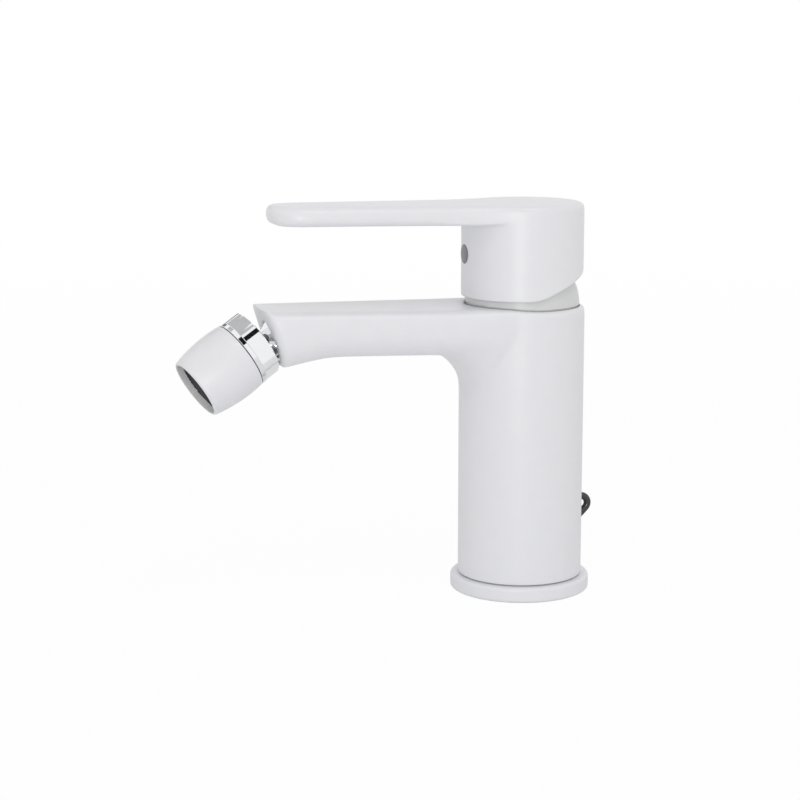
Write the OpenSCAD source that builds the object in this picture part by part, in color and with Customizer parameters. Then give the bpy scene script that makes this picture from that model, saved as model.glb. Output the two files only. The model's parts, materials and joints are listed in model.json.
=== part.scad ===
// Single-lever bidet mixer: a cast body with its spout, a ceramic cartridge under a dome cap,
// a flat lever on a round hub, and a nozzle that swivels on a ball.
// The origin is the middle of the underside, on the deck. The spout points along -Y.

/* [Body] */
// Radius of the round body
body_r = 23; // [22.5:0.25:26]
// Height of the body's rim over the deck
body_h = 106.3; // [104:0.1:125]
// Rounding of the rim's outer edge
rim_edge = 2; // [1:0.1:2.2]

/* [Base ring] */
// How far the base ring stands out past the body
base_step = 2.75; // [2:0.25:6]
// Height of the base ring
base_h = 5.6; // [4.5:0.1:9]
// Rounding of the base ring's outer edges
base_edge = 1.2; // [0.5:0.1:2]
// Width of the shoulder by which the body sits on the base ring
base_shoulder = 1.6; // [1:0.1:3]
// Width of the rubber seal under the base ring
base_seal_w = 2.4; // [1.5:0.1:3]
// Height of the rubber seal under the base ring
base_seal_h = 1.5; // [1:0.1:2.5]

/* [Inlets and fixing] */
// Nominal radius of the hose threads in the underside (M10 x 1)
hose_r = 5; // [4:0.5:6]
// Depth of the hose threads
hose_depth = 13; // [8:1:20]
// Distance of each hose thread from the middle plane
hose_x = 9; // [8:0.25:11]
// Radius of the water passages above the hose threads
passage_r = 3; // [2:0.1:3.4]
// Nominal radius of the fixing stud's thread in the underside (M8)
stud_hole_r = 4; // [3:0.5:5]
// Depth of the fixing stud's thread
stud_depth = 16; // [10:1:25]
// Distance of the fixing stud behind the body's axis
stud_y = 10.5; // [8:0.25:13]

/* [Chain eyelet] */
// Height of the eyelet's bend over the deck, at the middle of the bend
eye_z = 30; // [20:0.5:50]
// Radius of the bend at the middle of its wire
eye_loop_r = 3; // [2.5:0.1:5]
// Distance of the bend's middle from the body's wall
eye_stand = 1.2; // [0.5:0.1:3]
// Slope of the eyelet's lower leg, in degrees from upright
eye_lean = 40; // [30:1:60]
// Radius of the loop's wire
eye_wire_r = 1.15; // [0.8:0.05:1.6]
// How deep the eyelet's two legs reach into the body wall
eye_pin_l = 4; // [2:0.25:6]

/* [Spout] */
// Distance of the spout's upper front edge from the body's axis
spout_reach = 98.4; // [85:0.2:130]
// Width of the spout at its tip
spout_tip_w = 30.5; // [26:0.5:34]
// Distance of the spout's sides, where they leave the body, from the body's own sides
spout_root_in = 2.25; // [1.5:0.25:6]
// Height of the spout between root and tip
spout_h = 16.75; // [16:0.25:20]
// Rise of the spout's top towards the tip, in degrees
spout_rise = 1.2; // [0:0.1:3]
// Extra depth of the spout at its tip
spout_drop = 3.4; // [2.5:0.1:5]
// Distance from the body's axis where the spout begins to deepen
spout_drop_start = 76; // [65:0.5:80]
// Rounding of the spout's upper edges
spout_top_edge = 4; // [2:0.25:5]
// Rounding of the spout's lower edges
spout_low_edge = 8.5; // [5:0.25:10]
// Radius of the fillet between the spout's underside and the body
spout_fillet = 14; // [6:0.25:16]
// Radius of the flare from the spout's sides into the body
spout_flare = 30; // [20:1:50]
// Slope of the spout's end face, in degrees from upright
face_tilt = 18; // [12:0.5:24]
// Radius of the waterway along the spout
water_r = 4.5; // [3:0.1:5]

/* [Lever] */
// Distance of the lever's tip from the body's axis
lever_reach = 95.3; // [80:0.1:120]
// Width of the lever at its rounded tip
lever_tip_w = 25; // [20:0.5:30]
// Width of the lever where its flare into the hub begins
lever_root_w = 31.5; // [26:0.5:36]
// Radius of the flare from the lever's sides into the hub
lever_flare = 45; // [25:1:70]
// Thickness of the lever
lever_t = 7; // [6:0.1:11]
// Rise of the lever towards its tip, in degrees
lever_rise = 0.7; // [0:0.1:3]
// Rounding of the lever's upper edges
lever_top_edge = 3; // [1:0.1:3.1]
// Rounding of the lever's lower edges
lever_low_edge = 2.6; // [1:0.1:3.4]
// Rounding of the lever's lower edge at its tip
lever_tip_edge = 3.8; // [2:0.1:3.9]
// Height of the hub's top over the lifting pivot
lever_top = 37.55; // [34:0.05:46]
// Thickness of the hub's wall at its lower rim
hub_wall = 1; // [0.8:0.1:3]
// Height of the hub's lower rim over the pivot
hub_gap = 3.4; // [3:0.1:5]
// Slope of the relief under the hub's back, in degrees
hub_relief = 22; // [20:0.5:26]
// Radius of the socket boss inside the hub
boss_r = 7.5; // [6.8:0.1:8]
// Height of the socket boss's lower end over the pivot
boss_gap = 8.8; // [8.5:0.1:12]

/* [Index plug and set screw] */
// Radius of the index plug
plug_r = 3.6; // [2.8:0.1:4]
// Height of the index plug and the set screw over the pivot
plug_z = 19.1; // [17:0.1:21]
// How far the index plug stands out of the hub
plug_proud = 0.4; // [0.2:0.1:1]
// Nominal radius of the set screw (M5)
screw_r = 2.5; // [2:0.25:2.75]

/* [Cartridge] */
// Radius of the cartridge housing
cart_r = 17.2; // [16.8:0.1:17.8]
// Wall of the cartridge housing
cart_wall = 1.2; // [0.9:0.1:1.3]
// Gap round the housing through which the mixed water flows
water_gap = 1.3; // [0.8:0.1:1.3]
// Depth of the housing's shoulder below the pivot
shoulder_drop = 7.8; // [7.5:0.1:9]
// Thickness of the housing's top, which guides the turret
cart_top_t = 6; // [5.5:0.1:8]
// Thickness of each ceramic disc
disc_t = 3.5; // [2.5:0.1:5]
// Radius of the moving ceramic disc
disc_r = 11.4; // [11:0.1:11.7]
// Thickness of the cartridge's base
cart_base_t = 5.7; // [5.4:0.1:8]
// Distance of the inlet ports from the middle plane, and in front of the axis
port_off = 5.5; // [5.2:0.1:6]
// Distance of the outlet port behind the axis
outlet_off = 2.5; // [2.2:0.1:3]
// Radius of the ports in the fixed disc
port_r = 2.4; // [1.8:0.1:2.5]
// Radius of the turret's neck
neck_r = 10.5; // [10:0.1:11]
// Thickness of the turret's flange
flange_t = 4; // [3:0.1:6]
// Thickness of the plate that carries the moving disc
carrier_t = 3.5; // [2.5:0.1:5]
// Length of the spindle's arm below the pivot
arm_l = 9.2; // [8.8:0.1:9.4]
// Radius of the ball at the end of the spindle's arm
arm_ball_r = 3; // [2.5:0.1:3.2]
// Length of the spindle above the pivot
stem_l = 25.2; // [23:0.1:27]
// Width of the spindle across the pivot pin
stem_w = 8; // [7:0.1:8.4]
// Thickness of the spindle along the lever
stem_t = 7; // [6:0.1:7.4]
// Radius of the pivot pin
pivot_r = 1.5; // [1:0.1:2]

/* [Nozzle] */
// Distance of the ball's stub below the spout's upper front edge, along the end face
stub_drop = 13; // [12:0.1:13.4]
// Distance of the ball's middle in front of the end face
ball_out = 10; // [9.9:0.1:12]
// Radius of the swivel ball
ball_r = 7.5; // [7.2:0.1:7.8]
// Radius of the water bore through the ball
ball_bore_r = 2.9; // [2:0.1:3.2]
// Slope of the nozzle at rest, in degrees below level
nozzle_pitch = 33; // [26:0.5:33.5]
// Sideways turn of the nozzle at rest, in degrees
nozzle_yaw = 8; // [0:0.5:8.5]
// Outer radius of the swivel nut
nut_r = 12.7; // [12.4:0.1:13]
// Width of the swivel nut across its flats
nut_flats = 23.3; // [23:0.1:24.4]
// Length of the swivel nut behind the ball's middle
nut_back = 6.2; // [6:0.1:6.4]
// Length of the swivel nut's flats
nut_flat_l = 6.3; // [5:0.1:7]
// Length of the round collar in front of the flats
nut_collar_l = 1.7; // [1:0.1:3]
// Length of the nozzle sleeve
sleeve_l = 20.5; // [18:0.1:30]
// Outer radius of the sleeve at the outlet
outlet_r = 11.5; // [10.9:0.1:12]
// Swell of the sleeve between its ends
sleeve_swell = 0.55; // [0:0.05:1]
// Radius of the aerator's recess in the sleeve
aerator_r = 9.6; // [9:0.1:9.7]
// Depth of the aerator's screen behind the outlet
screen_depth = 2.6; // [1.5:0.1:4]

/* [Hidden] */

$fn = 96;
eps = 0.01;
big = 300;

// Fits
run_gap = 0.05;
seat_gap = 0.05;
face_gap = 0.02;
slide_play = 0.1;
pocket_gap = 0.12;
dome_gap = 0.4;
motion_gap = 0.4;
lift_max = 24;

// Rim, dome and hub, all round the lifting pivot
pivot_z = body_h;
dome_r = body_r - rim_edge;
dome_wall = 1.7;
dome_hole_r = dome_r * 0.772;
cap_bore_r = dome_r - 0.5;
cap_skirt_h = 2.7;
cap_skirt_t = 1.2;
cap_seal_h = 1;
cavity_r = dome_r + dome_gap;
hub_r = cavity_r + hub_wall;
hub_core_r = hub_r - 4.1;
hub_roof = 6.4;
hub_top_z = pivot_z + lever_top;
hub_low_z = pivot_z + hub_gap;
boss_low_z = pivot_z + boss_gap;
plug_l = 3.2;

// Cartridge levels, from the shoulder down
shoulder_z = pivot_z - shoulder_drop;
flange_top_z = shoulder_z - cart_top_t - slide_play;
flange_low_z = flange_top_z - flange_t;
carrier_top_z = flange_low_z - slide_play;
disc_top_z = carrier_top_z - carrier_t;
disc_low_z = disc_top_z - disc_t;
fixed_top_z = disc_low_z - face_gap;
cart_top_z = fixed_top_z - disc_t;
floor_z = cart_top_z - cart_base_t;
cart_in_r = cart_r - cart_wall;
chamber_r = cart_r + water_gap;
guide_r = chamber_r - seat_gap;
guide_h = 3.6;
thread_r = cap_bore_r - 0.5;
nut_h = shoulder_drop - cap_skirt_h - cap_seal_h - 0.1;
nut_collar_r = cap_bore_r - run_gap - cap_skirt_t - seat_gap;
nut_top_z = pivot_z - 0.3;
cap_seat_z = shoulder_z + nut_h + 0.1;
ring_seal_r = 0.8;
ring_seal_z = shoulder_z - 1.9;
slot_h = 3.5;
slot_w = 16;
slot_top_z = shoulder_z - guide_h - 0.1;
turret_top_z = pivot_z + 3.3;
arm_z = pivot_z - arm_l;
arm_travel = arm_l * sin(lift_max);
carrier_boss_r = arm_ball_r + 1.4;
carrier_boss_top = arm_z + arm_ball_r * 0.5;
arm_rod_r = arm_ball_r * 0.68;
stem_top_z = pivot_z + stem_l;
port_seal_h = 1.6;
disc_seal_h = 1;
port_seal_w = 1.6;

// Base
base_r = body_r + base_step;
spigot_r = body_r - base_shoulder;
ring_bore_r = spigot_r + run_gap;
base_seal_r = ring_bore_r + 0.9;

// Spout
// Height of the spout's top line over the body's rim, at the axis
spout_lift = 0.4;
spout_foot = body_h + spout_lift;
spout_root_w = 2 * (body_r - spout_root_in);
spout_low_z = spout_foot - spout_h;
tip_z = spout_foot + spout_reach * tan(spout_rise);
drop_blend = 3;
// Length of the tip past which the spout deepens no more
drop_tip_l = 8;
// Length over which the spout's underside bends into its drop
drop_lead = 8;
arc_steps = 6;
// How deep the flares of spout and lever start inside the rounds that they leave
flare_bite = 0.3;

// Nozzle
face_n = [0, -cos(face_tilt), -sin(face_tilt)];
face_down = [0, sin(face_tilt), -cos(face_tilt)];
tip_edge = [0, -spout_reach, tip_z];
stub_foot = tip_edge + stub_drop * face_down;
ball_at = stub_foot + ball_out * face_n;
ring_t = 0.85;
seat_r = ball_r + run_gap + ring_t + run_gap;
seat_lip = 50;
nut_front = nut_flat_l + nut_collar_l - nut_back;
nut_spigot_l = 5.7;
nut_spigot_r = seat_r + 1.55;
nut_chamfer = 1;
stub_collar_r = 7.5;
stub_thread_r = 6;
stub_thread_l = 8;
stub_neck_r = 4.2;
stub_washer_t = 0.8;
stub_collar_t = 1.1;
stub_rim = 0.5;
stub_recess_r = stub_collar_r + 0.3;
stub_front_z = -ball_out - stub_rim;
stub_back_z = stub_front_z - stub_collar_t;
cup_back = 1.6;
cup_front = nut_front + nut_spigot_l - 0.1;
cup_hole_r = 5;
outlet_z = nut_front + sleeve_l;
ledge_t = 1.6;
ledge_z = nut_front + nut_spigot_l + run_gap;
aerator_seal_h = 1;
aerator_back = ledge_z + ledge_t + aerator_seal_h;
aerator_front = outlet_z - 0.6;
aerator_wall = 1.3;
screen_t = 0.8;
screen_z = outlet_z - screen_depth;

// Finishes
white_paint = [0.87, 0.87, 0.89];
chrome = [0.72, 0.73, 0.75];
dark_chrome = [0.35, 0.35, 0.36];
brass = [0.78, 0.62, 0.32];
steel = [0.62, 0.63, 0.65];
rubber = [0.1, 0.1, 0.11];
cart_plastic = [0.83, 0.83, 0.8];
ceramic = [0.93, 0.92, 0.88];
grey_plastic = [0.5, 0.5, 0.51];

// A tube from z1 to z2
module tube(r_out, r_in, z1, z2) {
  translate([0, 0, z1])
    difference() {
      cylinder(r = r_out, h = z2 - z1);
      translate([0, 0, -1])
        cylinder(r = r_in, h = z2 - z1 + 2);
    }
}

// A rod from z1 to z2
module rod(r, z1, z2) {
  translate([0, 0, z1])
    cylinder(r = r, h = z2 - z1);
}

// A ring of round section
module torus(ring_r, wire_r) {
  rotate_extrude()
    translate([ring_r, 0])
      circle(r = wire_r, $fn = 48);
}

// A rectangle with rounded outer corners, in the half plane that is turned round the axis
module rounded_strip(r_in, r_out, z1, z2, edge) {
  translate([r_in, z1])
    square([r_out - edge - r_in, z2 - z1]);
  translate([r_in, z1 + edge])
    square([r_out - r_in, z2 - z1 - 2 * edge]);
  for (z = [z1 + edge, z2 - edge])
    translate([r_out - edge, z])
      circle(r = edge, $fn = 48);
}

// The frame of the ball's stub, with +Z out of the spout's end face
module at_stub() {
  translate(ball_at)
    rotate([90 + face_tilt, 0, 0])
      children();
}

// The frame of the friction ring, turned down with the nozzle
module at_pitch() {
  translate(ball_at)
    rotate([90 + nozzle_pitch, 0, 0])
      children();
}

// The frame of the nozzle, with +Z towards the outlet
module at_nozzle() {
  at_pitch()
    rotate([0, nozzle_yaw, 0])
      children();
}

// Lofts: each ring is a rectangle with rounded corners, square to Y
function corner(cx, cz, rx, rz, a0) =
  [for (i = [0:arc_steps]) let (a = a0 + 90 * i / arc_steps) [cx + rx * cos(a), cz + rz * sin(a)]];

function section(half_w, z_top, z_low, top_edge, low_edge) =
  let (tx = min(top_edge, half_w * 0.9),
       lx = min(low_edge, half_w * 0.9),
       tz = min(top_edge, (z_top - z_low) * 0.45),
       lz = min(low_edge, z_top - z_low - tz - 0.1))
  concat(corner(half_w - tx, z_top - tz, tx, tz, 0),
         corner(tx - half_w, z_top - tz, tx, tz, 90),
         corner(lx - half_w, z_low + lz, lx, lz, 180),
         corner(half_w - lx, z_low + lz, lx, lz, 270));

function ring_at(s, flat) = [for (p = flat) [p[0], -s, p[1]]];

module loft(rings) {
  n = len(rings[0]);
  m = len(rings);
  skin = [for (i = [0:m - 2], j = [0:n - 1])
            let (a = i * n + j, b = i * n + (j + 1) % n)
            each [[a, b + n, b], [a, a + n, b + n]]];
  first = [for (j = [0:n - 1]) j];
  last = [for (j = [n - 1:-1:0]) (m - 1) * n + j];
  polyhedron([for (r = rings) each r], concat([first, last], skin), convexity = 6);
}

// Half width of a tapered arm that flares into a round of radius round_r
function flare_x(root_half, flare) = root_half + flare;
function flare_s(root_half, flare, round_r) =
  sqrt(pow(round_r + flare, 2) - pow(flare_x(root_half, flare), 2));
function arm_half(s, root_half, tip_half, tip_s, flare, round_r) =
  let (s0 = flare_s(root_half, flare, round_r))
  s >= s0 ? root_half + (tip_half - root_half) * (s - s0) / (tip_s - s0)
          : flare_x(root_half, flare) - sqrt(pow(flare, 2) - pow(min(s0 - s, flare), 2));

// Spout outline, by distance s from the body's axis
spout_bite_r = body_r - flare_bite;
spout_flare_s = flare_s(spout_root_w / 2, spout_flare, spout_bite_r);
spout_join_s = spout_flare_s * spout_bite_r / (spout_bite_r + spout_flare);
fillet_s = body_r + spout_fillet;
function spout_half(s) =
  arm_half(max(s, spout_join_s), spout_root_w / 2, spout_tip_w / 2, spout_reach, spout_flare,
           spout_bite_r);
function fillet_depth(s) =
  s >= fillet_s ? 0
                : spout_fillet - sqrt(pow(spout_fillet, 2) - pow(min(fillet_s - s, spout_fillet), 2));
function drop_at(s) =
  let (d = s - spout_drop_start, slope = spout_drop / (spout_reach - drop_tip_l - spout_drop_start))
  slope * (sqrt(d * d + drop_blend * drop_blend) + d) / 2;
function spout_top_at(s) = spout_foot + s * tan(spout_rise);
function spout_low_at(s) = spout_low_z + s * tan(spout_rise) - drop_at(s) - fillet_depth(s);
function spout_ring(s) =
  ring_at(s, section(spout_half(s), spout_top_at(s), spout_low_at(s), spout_top_edge,
                     spout_low_edge + 0.8 * fillet_depth(s)));

module spout_solid() {
  root_s = spout_join_s - 3;
  bend_s = spout_drop_start - drop_lead;
  out_s = spout_reach + 4;
  stations = concat([root_s],
                    [for (i = [0:3]) spout_join_s + (body_r - spout_join_s) * i / 4],
                    [for (a = [80:-16:0]) fillet_s - spout_fillet * sin(a)],
                    [(fillet_s + bend_s) / 2],
                    [for (i = [0:6]) bend_s + (out_s - bend_s) * i / 6]);
  difference() {
    loft([for (s = stations) spout_ring(s)]);
    rod(dome_r + seat_gap, cap_seat_z, hub_top_z);
    translate(tip_edge)
      rotate([face_tilt, 0, 0])
        translate([-big / 2, -big, -big / 2])
          cube([big, big, big]);
  }
}

// Lever outline, by distance s from the body's axis
lever_tip_r = lever_tip_w / 2;
lever_tip_s = lever_reach - lever_tip_r;
lever_bite_r = hub_r - flare_bite;
lever_flare_s = flare_s(lever_root_w / 2, lever_flare, lever_bite_r);
lever_join_s = lever_flare_s * lever_bite_r / (lever_bite_r + lever_flare);
function lever_half(s) =
  s <= lever_tip_s ? arm_half(max(s, lever_join_s), lever_root_w / 2, lever_tip_r, lever_tip_s,
                              lever_flare, lever_bite_r)
                   : sqrt(max(pow(lever_tip_r, 2) - pow(s - lever_tip_s, 2), 0.01));
function edge_loss(d, edge) = d >= edge ? 0 : edge - sqrt(edge * edge - pow(edge - d, 2));
function lever_ring(s) =
  let (d = lever_reach - s,
       top = hub_top_z + max(s - lever_join_s, 0) * tan(lever_rise))
  ring_at(s, section(lever_half(s), top - edge_loss(d, lever_top_edge),
                     top - lever_t + edge_loss(d, lever_tip_edge),
                     lever_top_edge, lever_low_edge));

module lever_plank() {
  stations = concat([0, lever_join_s],
                    [for (i = [1:4]) lever_join_s + (lever_flare_s - lever_join_s) * i / 4],
                    [for (i = [0:9]) lever_tip_s + lever_tip_r * sin(9.4 * i)]);
  loft([for (s = stations) lever_ring(s)]);
}

// Body and base

module body_casting() {
  color(white_paint)
    difference() {
      union() {
        rotate_extrude()
          body_half();
        spout_solid();
      }
      body_chamber();
      spout_waterway();
      underside_holes();
      eyelet_legs(run_gap);
      stub_recess();
    }
}

// Half outline of the body: spigot in the base ring, shaft and rounded rim
module body_half() {
  square([spigot_r, base_h + 1]);
  translate([0, base_h])
    square([body_r, body_h - rim_edge - base_h]);
  translate([0, body_h - rim_edge - 1])
    square([body_r - rim_edge, rim_edge + 1]);
  translate([body_r - rim_edge, body_h - rim_edge])
    circle(r = rim_edge, $fn = 48);
}

module body_chamber() {
  rod(chamber_r, floor_z, shoulder_z + eps);
  rod(thread_r, shoulder_z - 0.3, cap_seat_z + eps);
  rod(cap_bore_r, cap_seat_z, body_h + 1);
}

module spout_waterway() {
  bore_end = stub_foot + (stub_thread_l + 1) * -face_n;
  bore_z = slot_top_z + 3.2;
  bore_s = body_r + 4;
  translate([0, bore_end[1], bore_z])
    rotate([-90, 0, 0])
      cylinder(r = water_r, h = -bore_end[1] - bore_s);
  translate([-slot_w / 2, -bore_s - water_r, slot_top_z - slot_h])
    cube([slot_w, bore_s + water_r - cart_r, slot_h]);
}

module stub_recess() {
  at_stub() {
    rod(stub_recess_r, stub_back_z - stub_washer_t, 0);
    translate([0, 0, stub_front_z])
      cylinder(r1 = stub_recess_r, r2 = stub_recess_r + 2 * stub_rim, h = 2 * stub_rim);
    rod(stub_thread_r + run_gap, stub_back_z - stub_thread_l - 2, 0);
  }
}

module underside_holes() {
  lean = atan2(hose_x - port_off, floor_z - hose_depth);
  run = norm([hose_x - port_off, floor_z - hose_depth]);
  for (side = [-1, 1])
    translate([side * hose_x, -port_off, 0]) {
      rod(hose_r, -1, hose_depth);
      translate([0, 0, hose_depth - 1])
        rotate([0, -side * lean, 0])
          cylinder(r = passage_r, h = run + 2);
    }
  translate([0, stud_y, 0])
    rod(stud_hole_r, -1, stud_depth);
}

module base_ring() {
  color(white_paint)
    difference() {
      rotate_extrude()
        rounded_strip(ring_bore_r, base_r, 0, base_h, base_edge);
      tube(base_seal_r + base_seal_w + run_gap, base_seal_r - run_gap, -1, base_seal_h);
    }
}

module base_seal() {
  color(rubber)
    tube(base_seal_r + base_seal_w, base_seal_r, 0, base_seal_h);
}

// The eyelet's legs, one level and one sloping, or their holes when grown
module eyelet_legs(grow) {
  // Each leg is a little slimmer than the bend and ends inside it
  slim = 0.1;
  lap = 0.5;
  leg_r = eye_wire_r - slim + grow;
  lower_l = (eye_stand + eye_loop_r * cos(eye_lean) + eye_pin_l) / sin(eye_lean);
  translate([0, body_r - eye_pin_l - grow, eye_z + eye_loop_r])
    rotate([-90, 0, 0])
      cylinder(r = leg_r, h = eye_pin_l + eye_stand + grow + lap);
  translate([0, body_r + eye_stand, eye_z])
    rotate([-eye_lean, 0, 0])
      translate([0, eye_loop_r, -lower_l - grow])
        cylinder(r = leg_r, h = lower_l + grow + lap);
}

module chain_eyelet() {
  color(dark_chrome) {
    eyelet_legs(0);
    translate([0, body_r + eye_stand, eye_z])
      rotate([0, 90, 0])
        rotate([0, 0, 90 - eye_lean])
          rotate_extrude(angle = 90 + eye_lean)
            translate([eye_loop_r, 0])
              circle(r = eye_wire_r, $fn = 48);
  }
}

// Cartridge

// Middles of the ports: two inlets in front and one outlet behind
inlet_spots = [[-port_off, -port_off, 0], [port_off, -port_off, 0]];
outlet_spot = [0, outlet_off, 0];
port_spots = concat(inlet_spots, [outlet_spot]);

module cartridge_base() {
  base_r_out = cart_in_r - seat_gap;
  duct_w = 5.4;
  duct_h = 3;
  color(cart_plastic)
    difference() {
      rod(base_r_out, floor_z, cart_top_z);
      for (p = inlet_spots)
        translate(p) {
          rod(passage_r, floor_z - 1, cart_top_z + 1);
          rod(passage_r + port_seal_w + seat_gap, floor_z - 1, floor_z + port_seal_h);
        }
      for (p = port_spots)
        translate(p)
          rod(port_r + port_seal_w + seat_gap, cart_top_z - disc_seal_h, cart_top_z + 1);
      translate(outlet_spot)
        rod(port_r, cart_top_z - disc_seal_h - duct_h, cart_top_z);
      translate([-duct_w / 2, outlet_off, cart_top_z - disc_seal_h - duct_h])
        cube([duct_w, cart_r, duct_h - 0.4]);
    }
}

module inlet_seals() {
  color(rubber)
    for (p = inlet_spots)
      translate(p)
        tube(passage_r + port_seal_w, passage_r, floor_z, floor_z + port_seal_h);
}

module disc_seals() {
  color(rubber)
    for (p = port_spots)
      translate(p)
        tube(port_r + port_seal_w, port_r, cart_top_z - disc_seal_h, cart_top_z);
}

module fixed_disc() {
  color(ceramic)
    difference() {
      rod(cart_in_r - 0.4, cart_top_z, fixed_top_z);
      for (p = port_spots)
        translate(p)
          rod(port_r, cart_top_z - 1, fixed_top_z + 1);
    }
}

module cartridge_housing() {
  window_w = 6;
  color(cart_plastic)
    difference() {
      union() {
        rod(cart_r, floor_z, shoulder_z);
        rod(guide_r, shoulder_z - guide_h, shoulder_z);
      }
      rod(cart_in_r, floor_z - 1, shoulder_z - cart_top_t);
      rod(neck_r + run_gap, floor_z, shoulder_z + 1);
      translate([-window_w / 2, 0, floor_z + 0.8])
        cube([window_w, cart_r + 1, cart_base_t - disc_seal_h - 1]);
      translate([0, 0, ring_seal_z])
        tube(guide_r + 1, guide_r - 2 * ring_seal_r, -ring_seal_r - 0.1, ring_seal_r + 0.1);
    }
}

module housing_seal() {
  color(rubber)
    translate([0, 0, ring_seal_z])
      torus(guide_r - ring_seal_r, ring_seal_r - face_gap);
}

module moving_disc() {
  pocket_l = 10.4;
  pocket_w = 13;
  pocket_d = 1.4;
  color(ceramic)
    difference() {
      rod(disc_r, disc_low_z, disc_top_z);
      translate([-pocket_w / 2, -outlet_off, disc_low_z - 1])
        cube([pocket_w, pocket_l, pocket_d + 1]);
    }
}

module disc_carrier() {
  color(cart_plastic)
    difference() {
      union() {
        rod(disc_r + 0.3, disc_top_z, carrier_top_z);
        rod(carrier_boss_r, disc_top_z, carrier_boss_top);
      }
      rod(arm_ball_r + pocket_gap, arm_z - arm_ball_r - 0.4, carrier_boss_top + 1);
    }
}

module spindle_turret() {
  well_r = carrier_boss_r + 0.25;
  well_top = carrier_boss_top + 0.3;
  slot_front = arm_l * sin(lift_max) + stem_t / 2;
  slot_back = (turret_top_z - pivot_z) * tan(lift_max) + stem_t / 2 / cos(lift_max) + motion_gap;
  color(cart_plastic)
    difference() {
      union() {
        rod(cart_in_r - 1.4, flange_low_z, flange_top_z);
        rod(neck_r, flange_low_z, turret_top_z);
      }
      for (s = [0, -arm_travel - slide_play])
        translate([0, s, 0])
          rod(well_r, flange_low_z - 1, well_top);
      translate([-well_r, -arm_travel - slide_play, flange_low_z - 1])
        cube([2 * well_r, arm_travel + slide_play, well_top - flange_low_z + 1]);
      translate([-stem_w / 2 - slide_play, -slot_front, well_top - eps])
        cube([stem_w + 2 * slide_play, slot_front + slot_back, turret_top_z - well_top + 1]);
      translate([0, 0, pivot_z])
        rotate([0, 90, 0])
          cylinder(r = pivot_r + face_gap, h = 2 * neck_r + 2, center = true);
    }
}

module pivot_pin() {
  pin_l = 2 * neck_r - 1.2;
  color(steel)
    translate([0, 0, pivot_z])
      rotate([0, 90, 0])
        cylinder(r = pivot_r, h = pin_l, center = true);
}

module lever_spindle() {
  block_h = 3.2;
  color(steel)
    difference() {
      union() {
        translate([-stem_w / 2, -stem_t / 2, pivot_z - block_h])
          cube([stem_w, stem_t, stem_top_z - pivot_z + block_h]);
        rod(arm_rod_r, arm_z, pivot_z - block_h + 1);
        translate([0, 0, arm_z])
          sphere(r = arm_ball_r, $fn = 48);
      }
      translate([0, 0, pivot_z])
        rotate([0, 90, 0])
          cylinder(r = pivot_r + run_gap, h = stem_w + 2, center = true);
    }
}

module cartridge_nut() {
  notch_w = 4;
  notch_d = 2.5;
  notches = 6;
  color(brass)
    difference() {
      union() {
        rod(thread_r - run_gap, shoulder_z, shoulder_z + nut_h);
        rod(nut_collar_r, shoulder_z, nut_top_z);
      }
      rod(neck_r + 0.6, shoulder_z - 1, nut_top_z + 1);
      rod(neck_r + 3, shoulder_z + nut_h, nut_top_z + 1);
      for (i = [0:notches - 1])
        rotate([0, 0, i * 360 / notches])
          translate([0, -notch_w / 2, nut_top_z - notch_d])
            cube([body_r, notch_w, notch_d + 1]);
    }
}

module cap_seal() {
  color(rubber)
    tube(cap_bore_r - seat_gap, nut_collar_r + seat_gap, cap_seat_z, cap_seat_z + cap_seal_h);
}

module dome_cap() {
  skirt_r = cap_bore_r - run_gap;
  color(white_paint)
    rotate_extrude()
      union() {
        translate([0, pivot_z])
          intersection() {
            difference() {
              circle(r = dome_r);
              circle(r = dome_r - dome_wall);
            }
            translate([dome_hole_r, 0])
              square([dome_r, dome_r]);
          }
        translate([skirt_r - cap_skirt_t, pivot_z - cap_skirt_h])
          square([cap_skirt_t, cap_skirt_h + eps]);
      }
}

// Lever

module lever_handle() {
  color(white_paint)
    difference() {
      union() {
        rotate_extrude()
          hub_half();
        lever_plank();
      }
      difference() {
        union() {
          translate([0, 0, pivot_z])
            sphere(r = cavity_r);
          rod(hub_core_r, hub_low_z - 1, hub_top_z - hub_roof);
        }
        rod(boss_r, boss_low_z, hub_top_z);
      }
      hub_relief_cut();
      stem_socket();
      translate([0, 0, pivot_z + plug_z])
        rotate([90, 0, 0]) {
          cylinder(r = screw_r, h = hub_r);
          translate([0, 0, hub_r - plug_l])
            cylinder(r = plug_r + seat_gap, h = plug_l + hub_r);
        }
    }
}

// Half outline of the hub with its rounded upper edge
module hub_half() {
  translate([0, hub_low_z])
    square([hub_r, hub_top_z - hub_low_z - lever_top_edge]);
  translate([0, hub_top_z - lever_top_edge - 1])
    square([hub_r - lever_top_edge, lever_top_edge + 1]);
  translate([hub_r - lever_top_edge, hub_top_z - lever_top_edge])
    circle(r = lever_top_edge, $fn = 48);
}

// The back of the hub's rim slopes up, so that it clears the body when the lever is lifted
module hub_relief_cut() {
  start_y = -1.2;
  translate([0, start_y, hub_low_z])
    rotate([hub_relief, 0, 0])
      translate([-big / 2, 0, -big])
        cube([big, big, big]);
}

module stem_socket() {
  translate([-stem_w / 2 - seat_gap, -stem_t / 2 - seat_gap, boss_low_z - 1])
    cube([stem_w + 2 * seat_gap, stem_t + 2 * seat_gap, stem_top_z + 0.3 - boss_low_z + 1]);
}

module set_screw() {
  screw_l = 6;
  key_r = screw_r * 0.5;
  color(steel)
    translate([0, -stem_t / 2, pivot_z + plug_z])
      rotate([90, 0, 0])
        difference() {
          cylinder(r = screw_r - face_gap, h = screw_l);
          translate([0, 0, screw_l - 3])
            cylinder(r = key_r, h = 4, $fn = 6);
        }
}

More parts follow.
